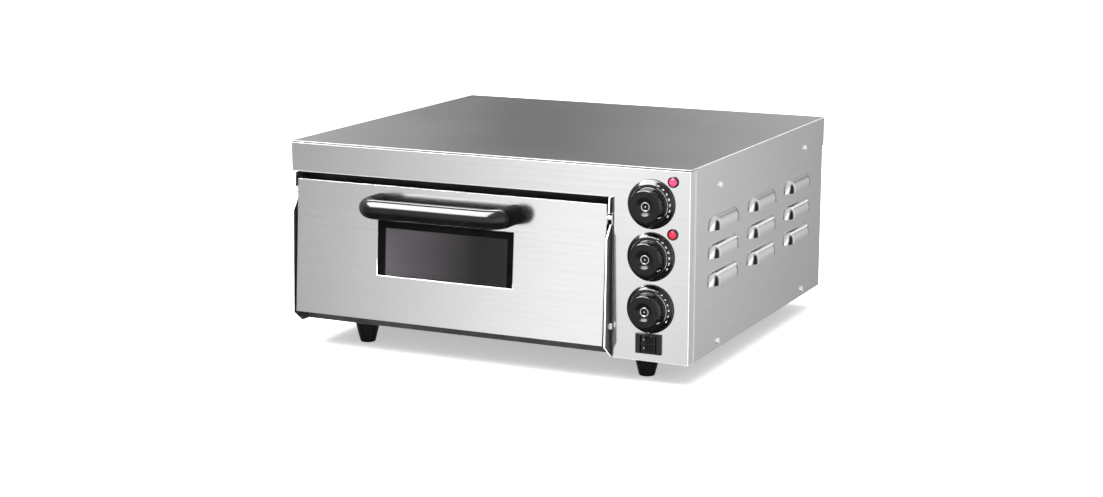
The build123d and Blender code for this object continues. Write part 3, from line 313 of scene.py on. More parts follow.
def gasket_rubber():
    """Matt black rubber with a trace of dust."""
    paint = Paint("gasket rubber", IOR=1.45, Specular_IOR_Level=0.03)
    dust = paint.noise(120, 4)
    colour = paint.ramp(dust, grey(0.0015), grey(0.004))
    return paint.done(colour, paint.span(dust, 0.42, 0.60), paint.noise(2000, 2), 0.2, 0.0001)


def woven_seal():
    """Grey glass-fibre braid; the braid's own shape is in the mesh."""
    paint = Paint("woven seal", Sheen_Weight=0.3)
    yarn = paint.noise(900, 3, 0.6, 1)
    soot = paint.noise(26, 4)
    base = paint.ramp(soot, grey(0.22, (1, 0.95, 0.88)), grey(0.52, (1, 0.97, 0.92)))
    colour = paint.mix(0.4, base, paint.ramp(yarn, grey(0.2), grey(0.7)))
    return paint.done(colour, paint.span(yarn, 0.78, 0.95), yarn, 0.5, 0.0003)


def smoked_glass():
    """Dark tempered glass with the faintest film on it, lighter towards the left in painted light
    and near black towards the right.
    """
    paint = Paint("smoked glass", IOR=1.52, Transmission_Weight=0.5, Specular_IOR_Level=0.2)
    film = paint.noise(18, 5, 0.6)
    streaks = paint.noise((9, 60, 60), 4)
    smoke = paint.ramp(streaks, grey(0.9), grey(1))
    # The left-to-right tint is painted light: a lit, purple-grey left fading to near black.
    share = paint.span(paint.axes()[0], 0, 1, -0.17, -0.01)
    tint = paint.ramp(share, (0.150, 0.132, 0.152), grey(0.004), 0, 1)
    colour = paint.mix(1, smoke, tint, "MULTIPLY")
    return paint.done(colour, paint.span(film, 0.03, 0.10), film, 0.01, 0.0001)


def lens_plastic(name, deep, pale):
    """A lamp's lens, flecked from deep to pale, with the neon's faint glow."""
    paint = Paint(name, IOR=1.49, Emission_Strength=0.12)
    flecks = paint.noise(420)
    colour = paint.ramp(flecks, deep, pale, 0.35, 0.62)
    paint.set("Emission Color", colour)
    return paint.done(colour, paint.span(flecks, 0.12, 0.26), paint.cells(1100), 0.15, 0.0002)


def porcelain():
    """Glazed cream porcelain."""
    paint = Paint("porcelain", Coat_Weight=0.8, Coat_Roughness=0.06)
    cloud = paint.noise(90, 4)
    base = paint.ramp(cloud, grey(0.78, (1, 0.98, 0.93)), grey(0.88, (1, 0.99, 0.96)))
    return paint.done(base, paint.span(cloud, 0.16, 0.30), paint.noise(400, 2), 0.05, 0.0001)


def turned_brass():
    """Brass with the lathe's fine lines and some tarnish."""
    paint = Paint("turned brass", Metallic=1)
    lathe = paint.noise((3000, 200, 200), 2)
    tarnish = paint.noise(130, 4)
    colour = paint.ramp(tarnish, (0.60, 0.42, 0.17), (0.83, 0.65, 0.34))
    return paint.done(colour, paint.span(lathe, 0.18, 0.34), lathe, 0.1, 0.00005)


def print_ink():
    """White pad-printed marks, a little thin in places, with a faint painted glow to stay legible.
    """
    paint = Paint("print ink", Emission_Strength=0.05)
    wear = paint.noise(1600)
    colour = paint.ramp(wear, grey(0.62), grey(0.92), 0.35, 0.5)
    paint.set("Emission Color", colour)
    return paint.done(colour, paint.span(wear, 0.35, 0.55))


FINISH = {
    "stainless": brushed("stainless front", "x", 0.86, 0.16),
    "dark_steel": dark_steel(),
    "galvanised": galvanised(),
    "chamber_steel": chamber_steel("chamber steel", 0.56),
    "fasteners": bright_zinc(),
    "element": element_sheath(),
    "wool": ceramic_wool(),
    "stone": fire_clay(),
    "black_gloss": black_gloss("black phenolic"),
    "black_matte": black_satin(),
    "gasket": gasket_rubber(),
    "seal": woven_seal(),
    "glass": smoked_glass(),
    "lamp_red": lens_plastic("lamp lens pink", (0.62, 0.02, 0.08), (0.90, 0.08, 0.19)),
    "porcelain": porcelain(),
    "brass": turned_brass(),
}
# The top and side are copies of the front's steel, a shade darker as painted shade; the side's grain
# runs front to back.
STAINLESS_TOP = brushed("stainless top", "x", 0.82, 0.20)
STAINLESS_SIDE = brushed("stainless side", "y", 0.84, 0.20)
# Near-black chamber steel for the frame seen through the gap above the door: painted shade.
GAP_SHADE = chamber_steel("painted gap shade steel", 0.012)
# Near-black chamber steel, used as painted shade on the faces at the seams.
SEAM_SHADE = chamber_steel("painted seam shade", 0.05)
# Narrow edge faces of sheets, hinge plates, rockers and louvre ridges take this pale finish as a
# painted highlight.
EDGE_HIGHLIGHT = edge_highlight()
LAMP_DEEP = lens_plastic("lamp lens red", (0.50, 0.006, 0.03), (0.78, 0.035, 0.085))
KNOB_FACE = knob_face()
# The handle's bar is polished, and its legs go satin with depth.
BAR_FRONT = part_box("door_handle")[0].y
HANDLE_GLOSS = black_gloss("handle phenolic", BAR_FRONT + 15 * MM, BAR_FRONT + 22 * MM)
INK = print_ink()


# Mesh building -----

def slot_of(node):
    """The record's material slot of a CAD node, which is the name of its packed material."""
    return frame["nodes"][node].data.materials[0].name.split(".")[0]


SLOT = {node: slot_of(node) for node in frame["nodes"]}


def placed(name, data):
    """A new object in the scene."""
    made = bpy.data.objects.new(name, data)
    bpy.context.scene.collection.objects.link(made)
    return made


def piece(name, mesh, body, material, replaced=(), smooth=35, weighted=True):
    """Turns a bmesh into a shown piece that rides on a body and stands for some CAD nodes."""
    bmesh.ops.recalc_face_normals(mesh, faces=mesh.faces)
    data = bpy.data.meshes.new(name)
    mesh.to_mesh(data)
    mesh.free()
    data.shade_smooth()
    data.set_sharp_from_angle(angle=radians(smooth))
    data.materials.append(material)
    made = placed(name, data)
    if weighted:
        made.modifiers.new("flat faces stay flat", "WEIGHTED_NORMAL").keep_sharp = True
    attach(made, body)
    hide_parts(*replaced)
    return made


def clean_copy(node):
    """A CAD node's faces as a bmesh, welded, with flat areas made whole again."""
    mesh = bmesh.new()
    mesh.from_mesh(frame["nodes"][node].data)
    bmesh.ops.remove_doubles(mesh, verts=mesh.verts, dist=0.002 * MM)
    flat = radians(0.4)
    bmesh.ops.dissolve_limit(mesh, angle_limit=flat, verts=mesh.verts, edges=mesh.edges)
    return mesh


def breadth(face):
    """Roughly how wide a face is across its narrow way."""
    longest = max(edge.calc_length() for edge in face.edges)
    return face.calc_area() / longest if longest else 0


def turned(edge, angle):
    """Whether two faces meet at an edge in a turn of more than angle, in degrees."""
    return len(edge.link_faces) == 2 and edge.calc_face_angle(0) > radians(angle)


def round_edges(mesh, edges, radius, segments):
    """Bevels edges into a round of a radius in metres."""
    shape = {"offset": radius, "segments": segments, "profile": 0.5, "affect": "EDGES"}
    bmesh.ops.bevel(mesh, geom=edges, clamp_overlap=True, loop_slide=True, **shape)


def soften(mesh, fold, cut):
    """Rounds a folded sheet's outer bends by fold and its cut edges by cut, in metres."""
    sharp = 50
    cut_face = 2.5 * MM
    shortest = 3 * MM
    bends = []
    for edge in mesh.edges:
        if turned(edge, sharp) and edge.is_convex:
            if min(breadth(face) for face in edge.link_faces) > cut_face:
                bends.append(edge)
    if fold and bends:
        round_edges(mesh, bends, fold, 3)
    long_edges = [e for e in mesh.edges if turned(e, sharp) and e.calc_length() > shortest]
    if cut and long_edges:
        round_edges(mesh, long_edges, cut, 1)


def refined(node, material=None, fold=0, cut=0, smooth=35, highlight_width=0):
    """A CAD node rebuilt with clean faces and rounded edges, and faces narrower than the highlight
    width painted pale as an edge highlight.
    """
    mesh = clean_copy(node)
    soften(mesh, fold, cut)
    for face in mesh.faces:
        face.material_index = 1 if breadth(face) < highlight_width else 0
    body = frame["nodes"][node]["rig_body"]
    material = material or FINISH[SLOT[node]]
    made = piece(f"{node}.body", mesh, body, material, [node], smooth)
    if highlight_width:
        made.data.materials.append(EDGE_HIGHLIGHT)
    return made


def repaint(made, material, chosen):
    """Gives the chosen faces another material."""
    made.data.materials.append(material)
    last = len(made.data.materials) - 1
    for polygon in made.data.polygons:
        if chosen(polygon):
            polygon.material_index = last


def paint_seam_shade(made, way, level):
    """Darkens a piece's faces that face along way, near a height, with painted shade so that its
    seam shows.
    """
    near = 0.5 * MM
    repaint(made, SEAM_SHADE, lambda f: abs(f.center.z - level) < near and f.normal.dot(way) > 0.9)


def ring_of(mesh, sides, place_at):
    """A ring of new points, each put where place_at says for its turn."""
    turns = [2 * pi * i / sides for i in range(sides)]
    return [mesh.verts.new(place_at(turn)) for turn in turns]


def stitch(mesh, first, second):
    """Closes the band between two rings, either of which may be a single point."""
    sides = max(len(first), len(second))
    for i in range(sides):
        j = (i + 1) % sides
        corners = [first[i % len(first)], first[j % len(first)]]
        corners += [second[j % len(second)], second[i % len(second)]]
        unique = list(dict.fromkeys(corners))
        if len(unique) > 2:
            mesh.faces.new(unique)


def arc(start, middle, end, steps):
    """Points along the circle through three (r, h) points, both ends included."""
    a, b, c = (complex(*point) for point in (start, middle, end))
    ratio = (c - a) / (b - a)
    centre = a - (a - b) * (ratio - abs(ratio) ** 2) / (2j * ratio.imag)
    first = phase(a - centre)
    half = (phase(b - centre) - first + pi) % (2 * pi) - pi
    whole = (phase(c - centre) - first) % (2 * pi)
    if half < 0:
        whole -= 2 * pi
    spots = [centre + rect(abs(a - centre), first + whole * i / steps) for i in range(steps + 1)]
    return [(spot.real, spot.imag) for spot in spots]


def turned_shape(profile, place, out, segments):
    """A closed solid of revolution: profile is (radius, height) in mm, heights along out."""
    mesh = bmesh.new()
    rotation = out.to_track_quat("Z", "Y").to_matrix()
    rings = []
    for radius, height in profile:
        if radius < 1e-6:
            rings.append([mesh.verts.new(place + rotation @ Vector((0, 0, height * MM)))])
            continue

        def spot(turn):
            return place + rotation @ (Vector((radius * cos(turn), radius * sin(turn), height)) * MM)

        rings.append(ring_of(mesh, segments, spot))
    pairs = list(zip(rings, rings[1:]))
    if len(rings[0]) > 1 and len(rings[-1]) > 1:
        pairs.append((rings[-1], rings[0]))
    for first, second in pairs:
        stitch(mesh, first, second)
    return mesh


# Casing -----

def sheet_metal():
    """The folded sheets that close the oven, outside and in."""
    refined("left_side_panel", STAINLESS_SIDE, fold=0.85 * MM, cut=0.25 * MM)
    # Edge faces narrower than the given width take the painted edge highlight.
    front = refined("front_panel", fold=0.6 * MM, cut=0.2 * MM, highlight_width=0.5 * MM)
    # The fascia's top face and the cover's underside beside the seam take painted shade.
    paint_seam_shade(front, UP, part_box("front_panel")[1].z)
    cover = refined("top_cover", STAINLESS_TOP, fold=0.85 * MM, cut=0.2 * MM, highlight_width=1.1 * MM)
    paint_seam_shade(cover, -UP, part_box("top_cover")[1].z - 1 * MM)
    for node in ("rear_panel", "base_pan", "control_bay_wall", "recess_panel"):
        refined(node, fold=0.7 * MM, cut=0.2 * MM)
    for node in ("hinge_plate_left", "hinge_plate_right"):
        refined(node, cut=0.3 * MM, highlight_width=2.1 * MM)
    for wall in ("floor", "ceiling", "left_wall", "right_wall", "back_wall"):
        refined(f"chamber_{wall}", cut=0.2 * MM)
    # The frame is painted near black as the shade in the gap above the door.
    refined("chamber_front_frame", GAP_SHADE, cut=0.2 * MM)


# Controls -----

PANEL_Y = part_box("front_panel")[0].y
HEAT_SCALE = [str(50 * i) for i in range(1, 8)]
TIME_SCALE = [str(20 * i) for i in range(7)]
KNOBS = {"upper_heat": HEAT_SCALE, "lower_heat": HEAT_SCALE, "timer": TIME_SCALE}

# A knob's radii, and its heights above the panel, in mm.
GRIP_R = 20.8
SKIRT_R = 30.2
FACE = 23
BOTTOM = 1.2
GRIP_FOOT = 9.1
DISH = FACE - 3.4
EMBLEM_R = 5.6
DOT_RING = 24.2
NUMBER_RING = 26.8
MARK_RING = 28.4

# A knob's printed scale by the clock, in degrees from straight up.
FIRST_NUMBER = 26
NUMBER_STEP = 15
OFF_DOTS = [-66 + 6 * i for i in range(7)]
POINTER = 128


def skirt_profile():
    """Half section of a knob's domed skirt in mm, from the grip out to the rim."""
    return arc((GRIP_R + 1.7, GRIP_FOOT), (SKIRT_R - 2.6, 6.9), (SKIRT_R, 2.9), 14)[1:]


def knob_profile():
    """Half section of a knob in mm: the well for its shaft, the dished face, grip and skirt."""
    bore = 3.02
    outline = [(bore, 3.2), (bore, 17.3), (0, 17.3)]
    outline += [(0, DISH - 0.2), (5.5, DISH)]
    outline += arc((5.5, DISH), (8.6, FACE - 2), (11, FACE - 0.3), 8)[1:]
    outline += arc((11, FACE - 0.3), (11.8, FACE - 0.05), (12.8, FACE), 4)[1:]
    outline += arc((GRIP_R - 2.2, FACE), (GRIP_R - 0.8, FACE - 0.5), (GRIP_R - 0.3, FACE - 1.8), 6)
    outline += arc((GRIP_R + 0.3, 10.4), (GRIP_R + 0.7, 9.5), (GRIP_R + 1.7, GRIP_FOOT), 5)
    outline += skirt_profile()
    outline += [(SKIRT_R, BOTTOM)]
    outline += arc((SKIRT_R - 2, BOTTOM), (SKIRT_R - 4.2, 4.6), (GRIP_R + 0.5, 6.6), 6)
    outline += [(GRIP_R - 2.2, 6.8), (GRIP_R - 2.2, 15), (7, 15), (7, 3.2)]
    return outline


def skirt_height(radius):
    """Height of the skirt's surface above the panel at a radius, all in mm."""
    skirt = skirt_profile()
    for (r0, h0), (r1, h1) in zip(skirt, skirt[1:]):
        if r0 <= radius <= r1:
            return h0 + (h1 - h0) * (radius - r0) / (r1 - r0)
    return skirt[0][1] if radius < skirt[0][0] else skirt[-1][1]


def on_skirt(centre, radius, clock, proud=0.05):
    """A point on the skirt, at a clock angle in degrees from straight up."""
    turn = radians(clock)
    height = skirt_height(radius) + proud
    return centre + Vector((radius * sin(turn), -height, radius * cos(turn))) * MM


def skirt_dots(mesh, centre, radius, clocks, size):
    """Small printed dots, each a low cap lying on the skirt's slope."""
    sink = Vector((0, 0.16 * MM, 0))
    for clock in clocks:
        middle = on_skirt(centre, radius, clock, 0.12)
        outer = on_skirt(centre, radius + 0.5, clock) - on_skirt(centre, radius - 0.5, clock)
        around = on_skirt(centre, radius, clock + 1) - on_skirt(centre, radius, clock - 1)
        outer.normalize()
        around.normalize()
        top = mesh.verts.new(middle)

        def rim(turn):
            return middle + (outer * cos(turn) + around * sin(turn)) * size * MM + sink

        ring = ring_of(mesh, 10, rim)
        stitch(mesh, ring, [top])
        mesh.faces.new(list(reversed(ring)))


def skirt_number(text, centre, radius, clock, size):
    """A printed number, bent over the skirt's dome."""
    curve = bpy.data.curves.new("numeral", "FONT")
    curve.body = text
    curve.size = size
    curve.align_x = "CENTER"
    curve.align_y = "CENTER"
    curve.extrude = 0.05
    curve.resolution_u = 3
    holder = placed("numeral", curve)
    bpy.context.view_layer.update()
    data = bpy.data.meshes.new_from_object(holder)
    bpy.data.objects.remove(holder)
    mesh = bmesh.new()
    mesh.from_mesh(data)
    bpy.data.meshes.remove(data)
    bmesh.ops.remove_doubles(mesh, verts=mesh.verts, dist=0.001)
    for vert in mesh.verts:
        reach = radius + vert.co.y
        swing = clock + (vert.co.x / radius) * 180 / pi
        vert.co = on_skirt(centre, reach, swing, 0.05 + vert.co.z)
    return mesh


def joined(parts):
    """One bmesh from several, which are freed."""
    whole = bmesh.new()
    for part in parts:
        data = bpy.data.meshes.new("part")
        part.to_mesh(data)
        part.free()
        whole.from_mesh(data)
        bpy.data.meshes.remove(data)
    return whole


def ring_emblem(centre):
    """A raised plain ring, with a dot in its middle, on the knob's dished face."""
    low = DISH - 0.2
    high = DISH + 0.3
    inner = EMBLEM_R - 1
    edge = 0.15
    profile = [(inner, low), (inner, high - edge), (inner + edge, high)]
    profile += [(EMBLEM_R - edge, high), (EMBLEM_R, high - edge), (EMBLEM_R, low)]
    dot_r = 0.9
    dot = [(0, low), (dot_r, low), (dot_r, high - edge), (dot_r - edge, high), (0, high)]
    ring = turned_shape(profile, centre, FORWARD, 64)
    return joined([ring, turned_shape(dot, centre, FORWARD, 24)])


def pointer(centre):
    """A short raised rib up the grip's side, which shows where the knob is set."""
    mesh = bmesh.new()
    turn = radians(POINTER)
    out = Vector((sin(turn), 0, cos(turn)))
    side = Vector((cos(turn), 0, -sin(turn)))
    foot = (11.2, GRIP_R + 0.55, 0.5)
    tip = (FACE - 2.4, GRIP_R + 0.05, 0.3)
    corners = []
    for height, reach, half in (foot, tip):
        for depth in (-1, 0):
            for sign in (-1, 1):
                spot = out * (reach + depth) + side * (half * sign) + FORWARD * height
                corners.append(mesh.verts.new(centre + spot * MM))
    a, b, c, d, e, f, g, h = corners
    for face in ((a, b, d, c), (e, f, h, g), (a, b, f, e), (c, d, h, g), (a, c, g, e), (b, d, h, f)):
        mesh.faces.new(face)
    round_edges(mesh, list(mesh.edges), 0.12 * MM, 1)
    return mesh


def satin_face(made, centre):
    """Gives the face inside a knob's rim its own finish."""
    behind = PANEL_Y - (FACE - 4.2) * MM
    reach = (GRIP_R - 1.6) * MM

    def inside(face):
        far = face.center - centre
        return face.center.y < behind and hypot(far.x, far.z) < reach

    repaint(made, KNOB_FACE, inside)


def printed_scale(numbers, centre):
    """The dots and numbers round a knob's skirt, as one mesh."""
    dots = bmesh.new()
    steps = 4 * (len(numbers) - 1)
    clocks = [FIRST_NUMBER + NUMBER_STEP * i / 4 for i in range(steps + 1)]
    skirt_dots(dots, centre, DOT_RING, clocks, 0.42)
    skirt_dots(dots, centre, DOT_RING, OFF_DOTS, 0.3)
    skirt_dots(dots, centre, MARK_RING, [180], 0.6)
    parts = [dots]
    for i, number in enumerate(numbers):
        parts.append(skirt_number(number, centre, NUMBER_RING, FIRST_NUMBER + NUMBER_STEP * i, 2.1))
    return joined(parts)


def knob(name, numbers):
    """A knob in two finishes, with its scale, emblem and pointer."""
    body = f"{name}_control"
    node = f"knob_{name}"
    low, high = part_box(node)
    centre = (low + high) / 2
    centre.y = PANEL_Y
    mesh = turned_shape(knob_profile(), centre, FORWARD, 128)
    made = piece(f"{node}.body", mesh, body, FINISH["black_gloss"], [node], 32)
    satin_face(made, centre)
    scale = printed_scale(numbers, centre)
    piece(f"{node}.scale", scale, body, INK, smooth=30, weighted=False)
    emblem = ring_emblem(centre)
    piece(f"{node}.emblem", emblem, body, FINISH["stainless"], smooth=30)
    piece(f"{node}.pointer", pointer(centre), body, INK, smooth=30)


def knobs():
    for name, numbers in KNOBS.items():
        knob(name, numbers)
    for name in KNOBS:
        refined(f"shaft_{name}", smooth=40)


def lamp_bezel(centre):
    """A bezel's turned rim in front of the panel, and its barrel behind."""
    seat = 5.05
    flange = 7
    barrel = 24
    profile = [(0, -barrel), (5, -barrel), (5, 0), (flange, 0)]
    profile += reversed(arc((seat, 1.3), (6.15, 2.1), (flange, 0.9), 8))
    profile += [(seat, 0.6), (0, 0.6)]
    return turned_shape(profile, centre, FORWARD, 64)


def lamp_lens(centre):
    """A lens whose dome rises in fine steps."""
    steps = 9
    profile = [(0, 0.62), (5, 0.62), (5, 1.3)]
    for i in range(steps):
        turn = pi / 2 * i / steps
        reach = 4.85 * cos(turn)
        rise = 1.4 + 2.35 * sin(turn)
        profile += [(reach, rise), (reach - 0.12, rise + 0.05)]
    profile.append((0, 3.8))
    return turned_shape(profile, centre, FORWARD, 48)


def lamps():
    """Two neon indicators, the upper one's lens paler than the lower one's."""
    low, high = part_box("lamp_bezels")
    half = (high.x - low.x) / 2
    x = (low.x + high.x) / 2
    bezels = []
    heights = {"upper": high.z - half, "lower": low.z + half}
    lenses = {"upper": FINISH["lamp_red"], "lower": LAMP_DEEP}
    for side, z in heights.items():
        centre = Vector((x, PANEL_Y, z))
        bezels.append(lamp_bezel(centre))
        dome = lamp_lens(centre)
        piece(f"lamp_lens.{side}", dome, "casing", lenses[side], ["lamp_lenses"], 25)
    gloss = FINISH["black_gloss"]
    piece("lamp_bezels.body", joined(bezels), "casing", gloss, ["lamp_bezels"], 30)


def rockers():
    """Two rockers, each with a painted highlight on its upper edges, and a ring round a white dot in
    its left end.
    """
    tilt = radians(8)
    face = Vector((-sin(tilt), -cos(tilt), 0))
    for side in ("upper", "lower"):
        node = f"rocker_{side}"
        body = f"rocker_{side}_switch"
        low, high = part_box(node)
        rocker = refined(node, FINISH["black_gloss"], cut=1.4 * MM, smooth=30)
        # Upward-facing edge faces take the pale finish as a painted highlight.
        repaint(rocker, EDGE_HIGHLIGHT, lambda f: f.normal.z > 0.3 and f.normal.y < -0.3)
        centre = Vector((low.x + 4.6 * MM, low.y + 1.35 * MM, (low.z + high.z) / 2))
        rim = [(2, -0.6), (2, 0.28), (2.3, 0.42), (2.6, 0.28), (2.6, -0.6)]
        ring = turned_shape(rim, centre, face, 32)
        piece(f"{node}.ring", ring, body, FINISH["black_matte"], smooth=30)
        dot = [(0, -0.6), (0.5, -0.6), (0.5, 0.25), (0.35, 0.34), (0, 0.36)]
        spot = turned_shape(dot, centre, face, 20)
        piece(f"{node}.dot", spot, body, INK, smooth=30, weighted=False)


def switch():
    refined("switch_housing", FINISH["black_gloss"], cut=0.45 * MM, smooth=30)
    rockers()


# Feet, screws and other small parts -----

def foot_profile(top, tall):
    """Half section of a foot in mm: a rolled edge, a flared side and a screw well."""
    waist = 10.25
    roll = 1.3
    steps = 12
    outline = [(8.2, 0)] + arc((8.9, 0), (9.8, 0.35), (waist, roll), 5)
    for i in range(1, steps):
        share = i / steps
        bulge = 0.25 * sin(pi * share)
        outline.append((waist + (top - waist) * share + bulge, roll + (tall - 1.9) * share))
    outline += [(top, tall - 0.5), (top - 0.5, tall)]
    well = tall - 9
    return outline + [(2.7, tall), (2.7, well), (6, well), (6, 0.6), (6.5, 0)]


def feet():
    for side in ("front_left", "front_right", "rear_left", "rear_right"):
        node = f"foot_{side}"
        low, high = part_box(node)
        centre = Vector(((low.x + high.x) / 2, (low.y + high.y) / 2, low.z))
        profile = foot_profile((high.x - low.x) / 2 / MM, (high.z - low.z) / MM)
        mesh = turned_shape(profile, centre, UP, 72)
        piece(f"{node}.body", mesh, "casing", FINISH["black_matte"], [node], 30)


def small_parts():
    """Screws, pins, clips and terminals: the CAD shapes with clean faces and finer edges."""
    plain = ("foot_screws", "pivot_bolts", "casing_screws", "sensor_bulbs", "door_side_pins")
    for node in plain:
        refined(node, smooth=32)
    crisp = ("thermostat_upper", "thermostat_lower", "timer_case", "cable_gland", "terminal_block")
    for node in crisp + ("stone_rails", "door_pivot_blocks", "chamber_clips"):
        refined(node, cut=0.12 * MM, smooth=32)
    refined("handle_bolts", smooth=32)


# Baking chamber -----

def cut_block(low, high, cell):
    """A box whose faces are divided into cells about cell wide."""
    size = high - low
    mesh = bmesh.new()
    bmesh.ops.create_cube(mesh, size=1)
    for vert in mesh.verts:
        vert.co = (low + high) / 2 + Vector(c * s for c, s in zip(vert.co, size))
    for axis in range(3):
        count = max(1, round(size[axis] / cell))
        normal = Vector([1 if i == axis else 0 for i in range(3)])
        for step in range(1, count):
            spot = low + normal * (size[axis] * step / count)
            geometry = list(mesh.verts) + list(mesh.edges) + list(mesh.faces)
            bmesh.ops.bisect_plane(mesh, geom=geometry, plane_co=spot, plane_no=normal)
    return mesh


def slab(node, cell, rough, edge):
    """A block that is sunk unevenly by up to rough, and by edge more where its faces meet."""
    low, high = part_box(node)
    centre = (low + high) / 2
    mesh = cut_block(low, high, cell)
    for vert in mesh.verts:
        spot = vert.co.copy()
        inward = Vector((0, 0, 0))
        for axis in range(3):
            near = min(spot[axis] - low[axis], high[axis] - spot[axis])
            if near < 0.01 * MM:
                inward[axis] = -1 if spot[axis] > centre[axis] else 1
        sides = sum(abs(v) for v in inward)
        lump = 0.5 + 0.5 * noise.noise(spot * 55) + 0.25 * noise.noise(spot * 190)
        sink = rough * max(0, min(1, lump)) + (edge if sides > 1 else 0)
        vert.co = spot + inward * sink
    return mesh


def wool():
    for side in ("top", "bottom", "back", "left", "right"):
        node = f"insulation_{side}"
        mesh = slab(node, 11 * MM, 1.8 * MM, 1.5 * MM)
        piece(f"{node}.blanket", mesh, "casing", FINISH["wool"], [node], 180, False)
    refined("door_insulation", smooth=30)


def stone():
    mesh = slab("baking_stone", 6 * MM, 0.18 * MM, 0.8 * MM)
    piece("baking_stone.body", mesh, "casing", FINISH["stone"], ["baking_stone"], 50, False)


def elements():
    for node in ("upper_element", "lower_element"):
        refined(node, smooth=50)


# Door -----

DOOR_LEAN = radians(4.236)
DOOR_RISE = 175.98 * MM


def door_face_y(z):
    """Y of the door's leaning face at a height."""
    low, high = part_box("door_outer_skin")
    foot = high.z - DOOR_RISE * cos(DOOR_LEAN)
    return low.y + (z - foot) * tan(DOOR_LEAN)


def tube(points, radius, sides):
    """A closed round tube along points that lie in one level plane."""
    mesh = bmesh.new()
    rings = []
    for i, point in enumerate(points):
        before = points[max(i - 1, 0)]
        after = points[min(i + 1, len(points) - 1)]
        way = (after - before).normalized()
        side = way.cross(UP).normalized()

        def spot(turn):
            return point + (side * cos(turn) + UP * sin(turn)) * radius

        rings.append(ring_of(mesh, sides, spot))
    for first, second in zip(rings, rings[1:]):
        stitch(mesh, first, second)
    mesh.faces.new(rings[0])
    mesh.faces.new(rings[-1])
    return mesh, rings


def handle_path(left, right, bar_y, z):
    """The handle's centre line: a leg, a bend and the bar, and their mirror image."""
    bend = 19 * MM
    leg_steps = 6
    bend_steps = 20
    bar_steps = 24
    start_y = door_face_y(z)
    leg = bar_y + bend - start_y
    run = right - left - 2 * bend
    points = [Vector((left, start_y, z))]
    for i in range(1, leg_steps + 1):
        points.append(Vector((left, start_y + leg * i / leg_steps, z)))
    for i in range(1, bend_steps + 1):
        turn = pi / 2 * i / bend_steps
        points.append(Vector((left + bend * (1 - cos(turn)), bar_y + bend * (1 - sin(turn)), z)))
    first_half = list(points)
    for i in range(1, bar_steps + 1):
        points.append(Vector((left + bend + run * i / bar_steps, bar_y, z)))
    mirrored = [Vector((left + right - p.x, p.y, p.z)) for p in reversed(first_half)]
    return points + mirrored[1:]


def handle():
    """The thick D-handle, with legs that end flush on the leaning door."""
    low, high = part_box("door_handle")
    radius = (high.z - low.z) / 2
    z = (low.z + high.z) / 2
    points = handle_path(low.x + radius, high.x - radius, low.y + radius, z)
    mesh, rings = tube(points, radius, 64)
    for ring in (rings[0], rings[-1]):
        for vert in ring:
            vert.co.y = door_face_y(vert.co.z)
    rims = [e for e in mesh.edges if turned(e, 60)]
    round_edges(mesh, rims, 0.5 * MM, 2)
    piece("door_handle.body", mesh, "door", HANDLE_GLOSS, ["door_handle"], 40)


def seal_path(low, high, inset):
    """Points round the seal's middle line: four straight runs with rounded corners."""
    corner = 9 * MM
    spacing = 2.4 * MM
    corner_steps = 6
    x0, x1 = low.x + inset + corner, high.x - inset - corner
    z0, z1 = low.z + inset + corner, high.z - inset - corner
    y = (low.y + high.y) / 2
    centres = [(x1, z0), (x1, z1), (x0, z1), (x0, z0)]
    path = []
    for side, (cx, cz) in enumerate(centres):
        for i in range(corner_steps + 1):
            turn = pi / 2 * (side - 1 + i / corner_steps)
            path.append(Vector((cx + corner * cos(turn), y, cz + corner * sin(turn))))
        nx, nz = centres[(side + 1) % 4]
        out = pi / 2 * side
        begin = path[-1]
        end = Vector((nx + corner * cos(out), y, nz + corner * sin(out)))
        count = int((end - begin).length / spacing)
        path += [begin.lerp(end, i / count) for i in range(1, count)]
    return path


def seal():
    """A braided rope pressed flat, running round the door's plug."""
    low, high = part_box("door_seal")
    width = 3.3 * MM
    deep = (high.y - low.y) / 2
    sides = 14
    strands = 7
    twist = 1.3
    path = seal_path(low, high, width + 0.2 * MM)
    mesh = bmesh.new()
    rings = []
    for i, point in enumerate(path):
        way = (path[(i + 1) % len(path)] - path[i - 1]).normalized()
        side = way.cross(-FORWARD).normalized()

        def spot(turn):
            weave = cos(strands * turn + twist * i) * cos(strands * turn - twist * i)
            swell = 0.93 + 0.07 * weave
            return point + side * cos(turn) * width * swell - FORWARD * (sin(turn) * deep * swell)

        rings.append(ring_of(mesh, sides, spot))
    for i, first in enumerate(rings):
        stitch(mesh, first, rings[(i + 1) % len(rings)])
    piece("door_seal.braid", mesh, "door", FINISH["seal"], ["door_seal"], 180, False)


def door():
    refined("door_outer_skin", fold=0.9 * MM, cut=0.22 * MM)
    refined("door_inner_liner", fold=0.7 * MM, cut=0.2 * MM)
    refined("glass_gasket", cut=0.5 * MM)
    refined("door_glass", cut=0.4 * MM)
    handle()
    seal()


# Louvred side panel -----

# Sizes of the panel in mm. FRONT and FOOT are where the first louvre starts.
LOUVRE_LENGTH = 98
LOUVRE_HEIGHT = 17
LOUVRE_PROUD = 8
LOUVRE_SHEET = 1
LOUVRE_PITCH_Y = 141
LOUVRE_PITCH_Z = 35.2
LOUVRE_FRONT = 63
LOUVRE_FOOT = 116.5
MOUTH_HEIGHT = 0.5
SLOT_MARGIN = 14
SLOT_HEIGHT = 13
# Height of the panel's step below the cover's rear overhang.
LIP_BOTTOM = 232
# Slope of a louvre's nose by distance from its tip: a steep ramp, then a long easing.
NOSE = ((0, 0.80), (6, 0.66), (8, 0.48), (16, 0.16), (19, 0))
# Faces across a hood from front to rear, and up it from its mouth.
HOOD_COLUMNS = 44
HOOD_ROWS = 14
# The rows and columns of those faces that make its ridge, painted pale as a highlight on the lower
# rows.
RIDGE_ROWS = range(8, 10)
RIDGE_COLUMNS = range(9, HOOD_COLUMNS - 6)


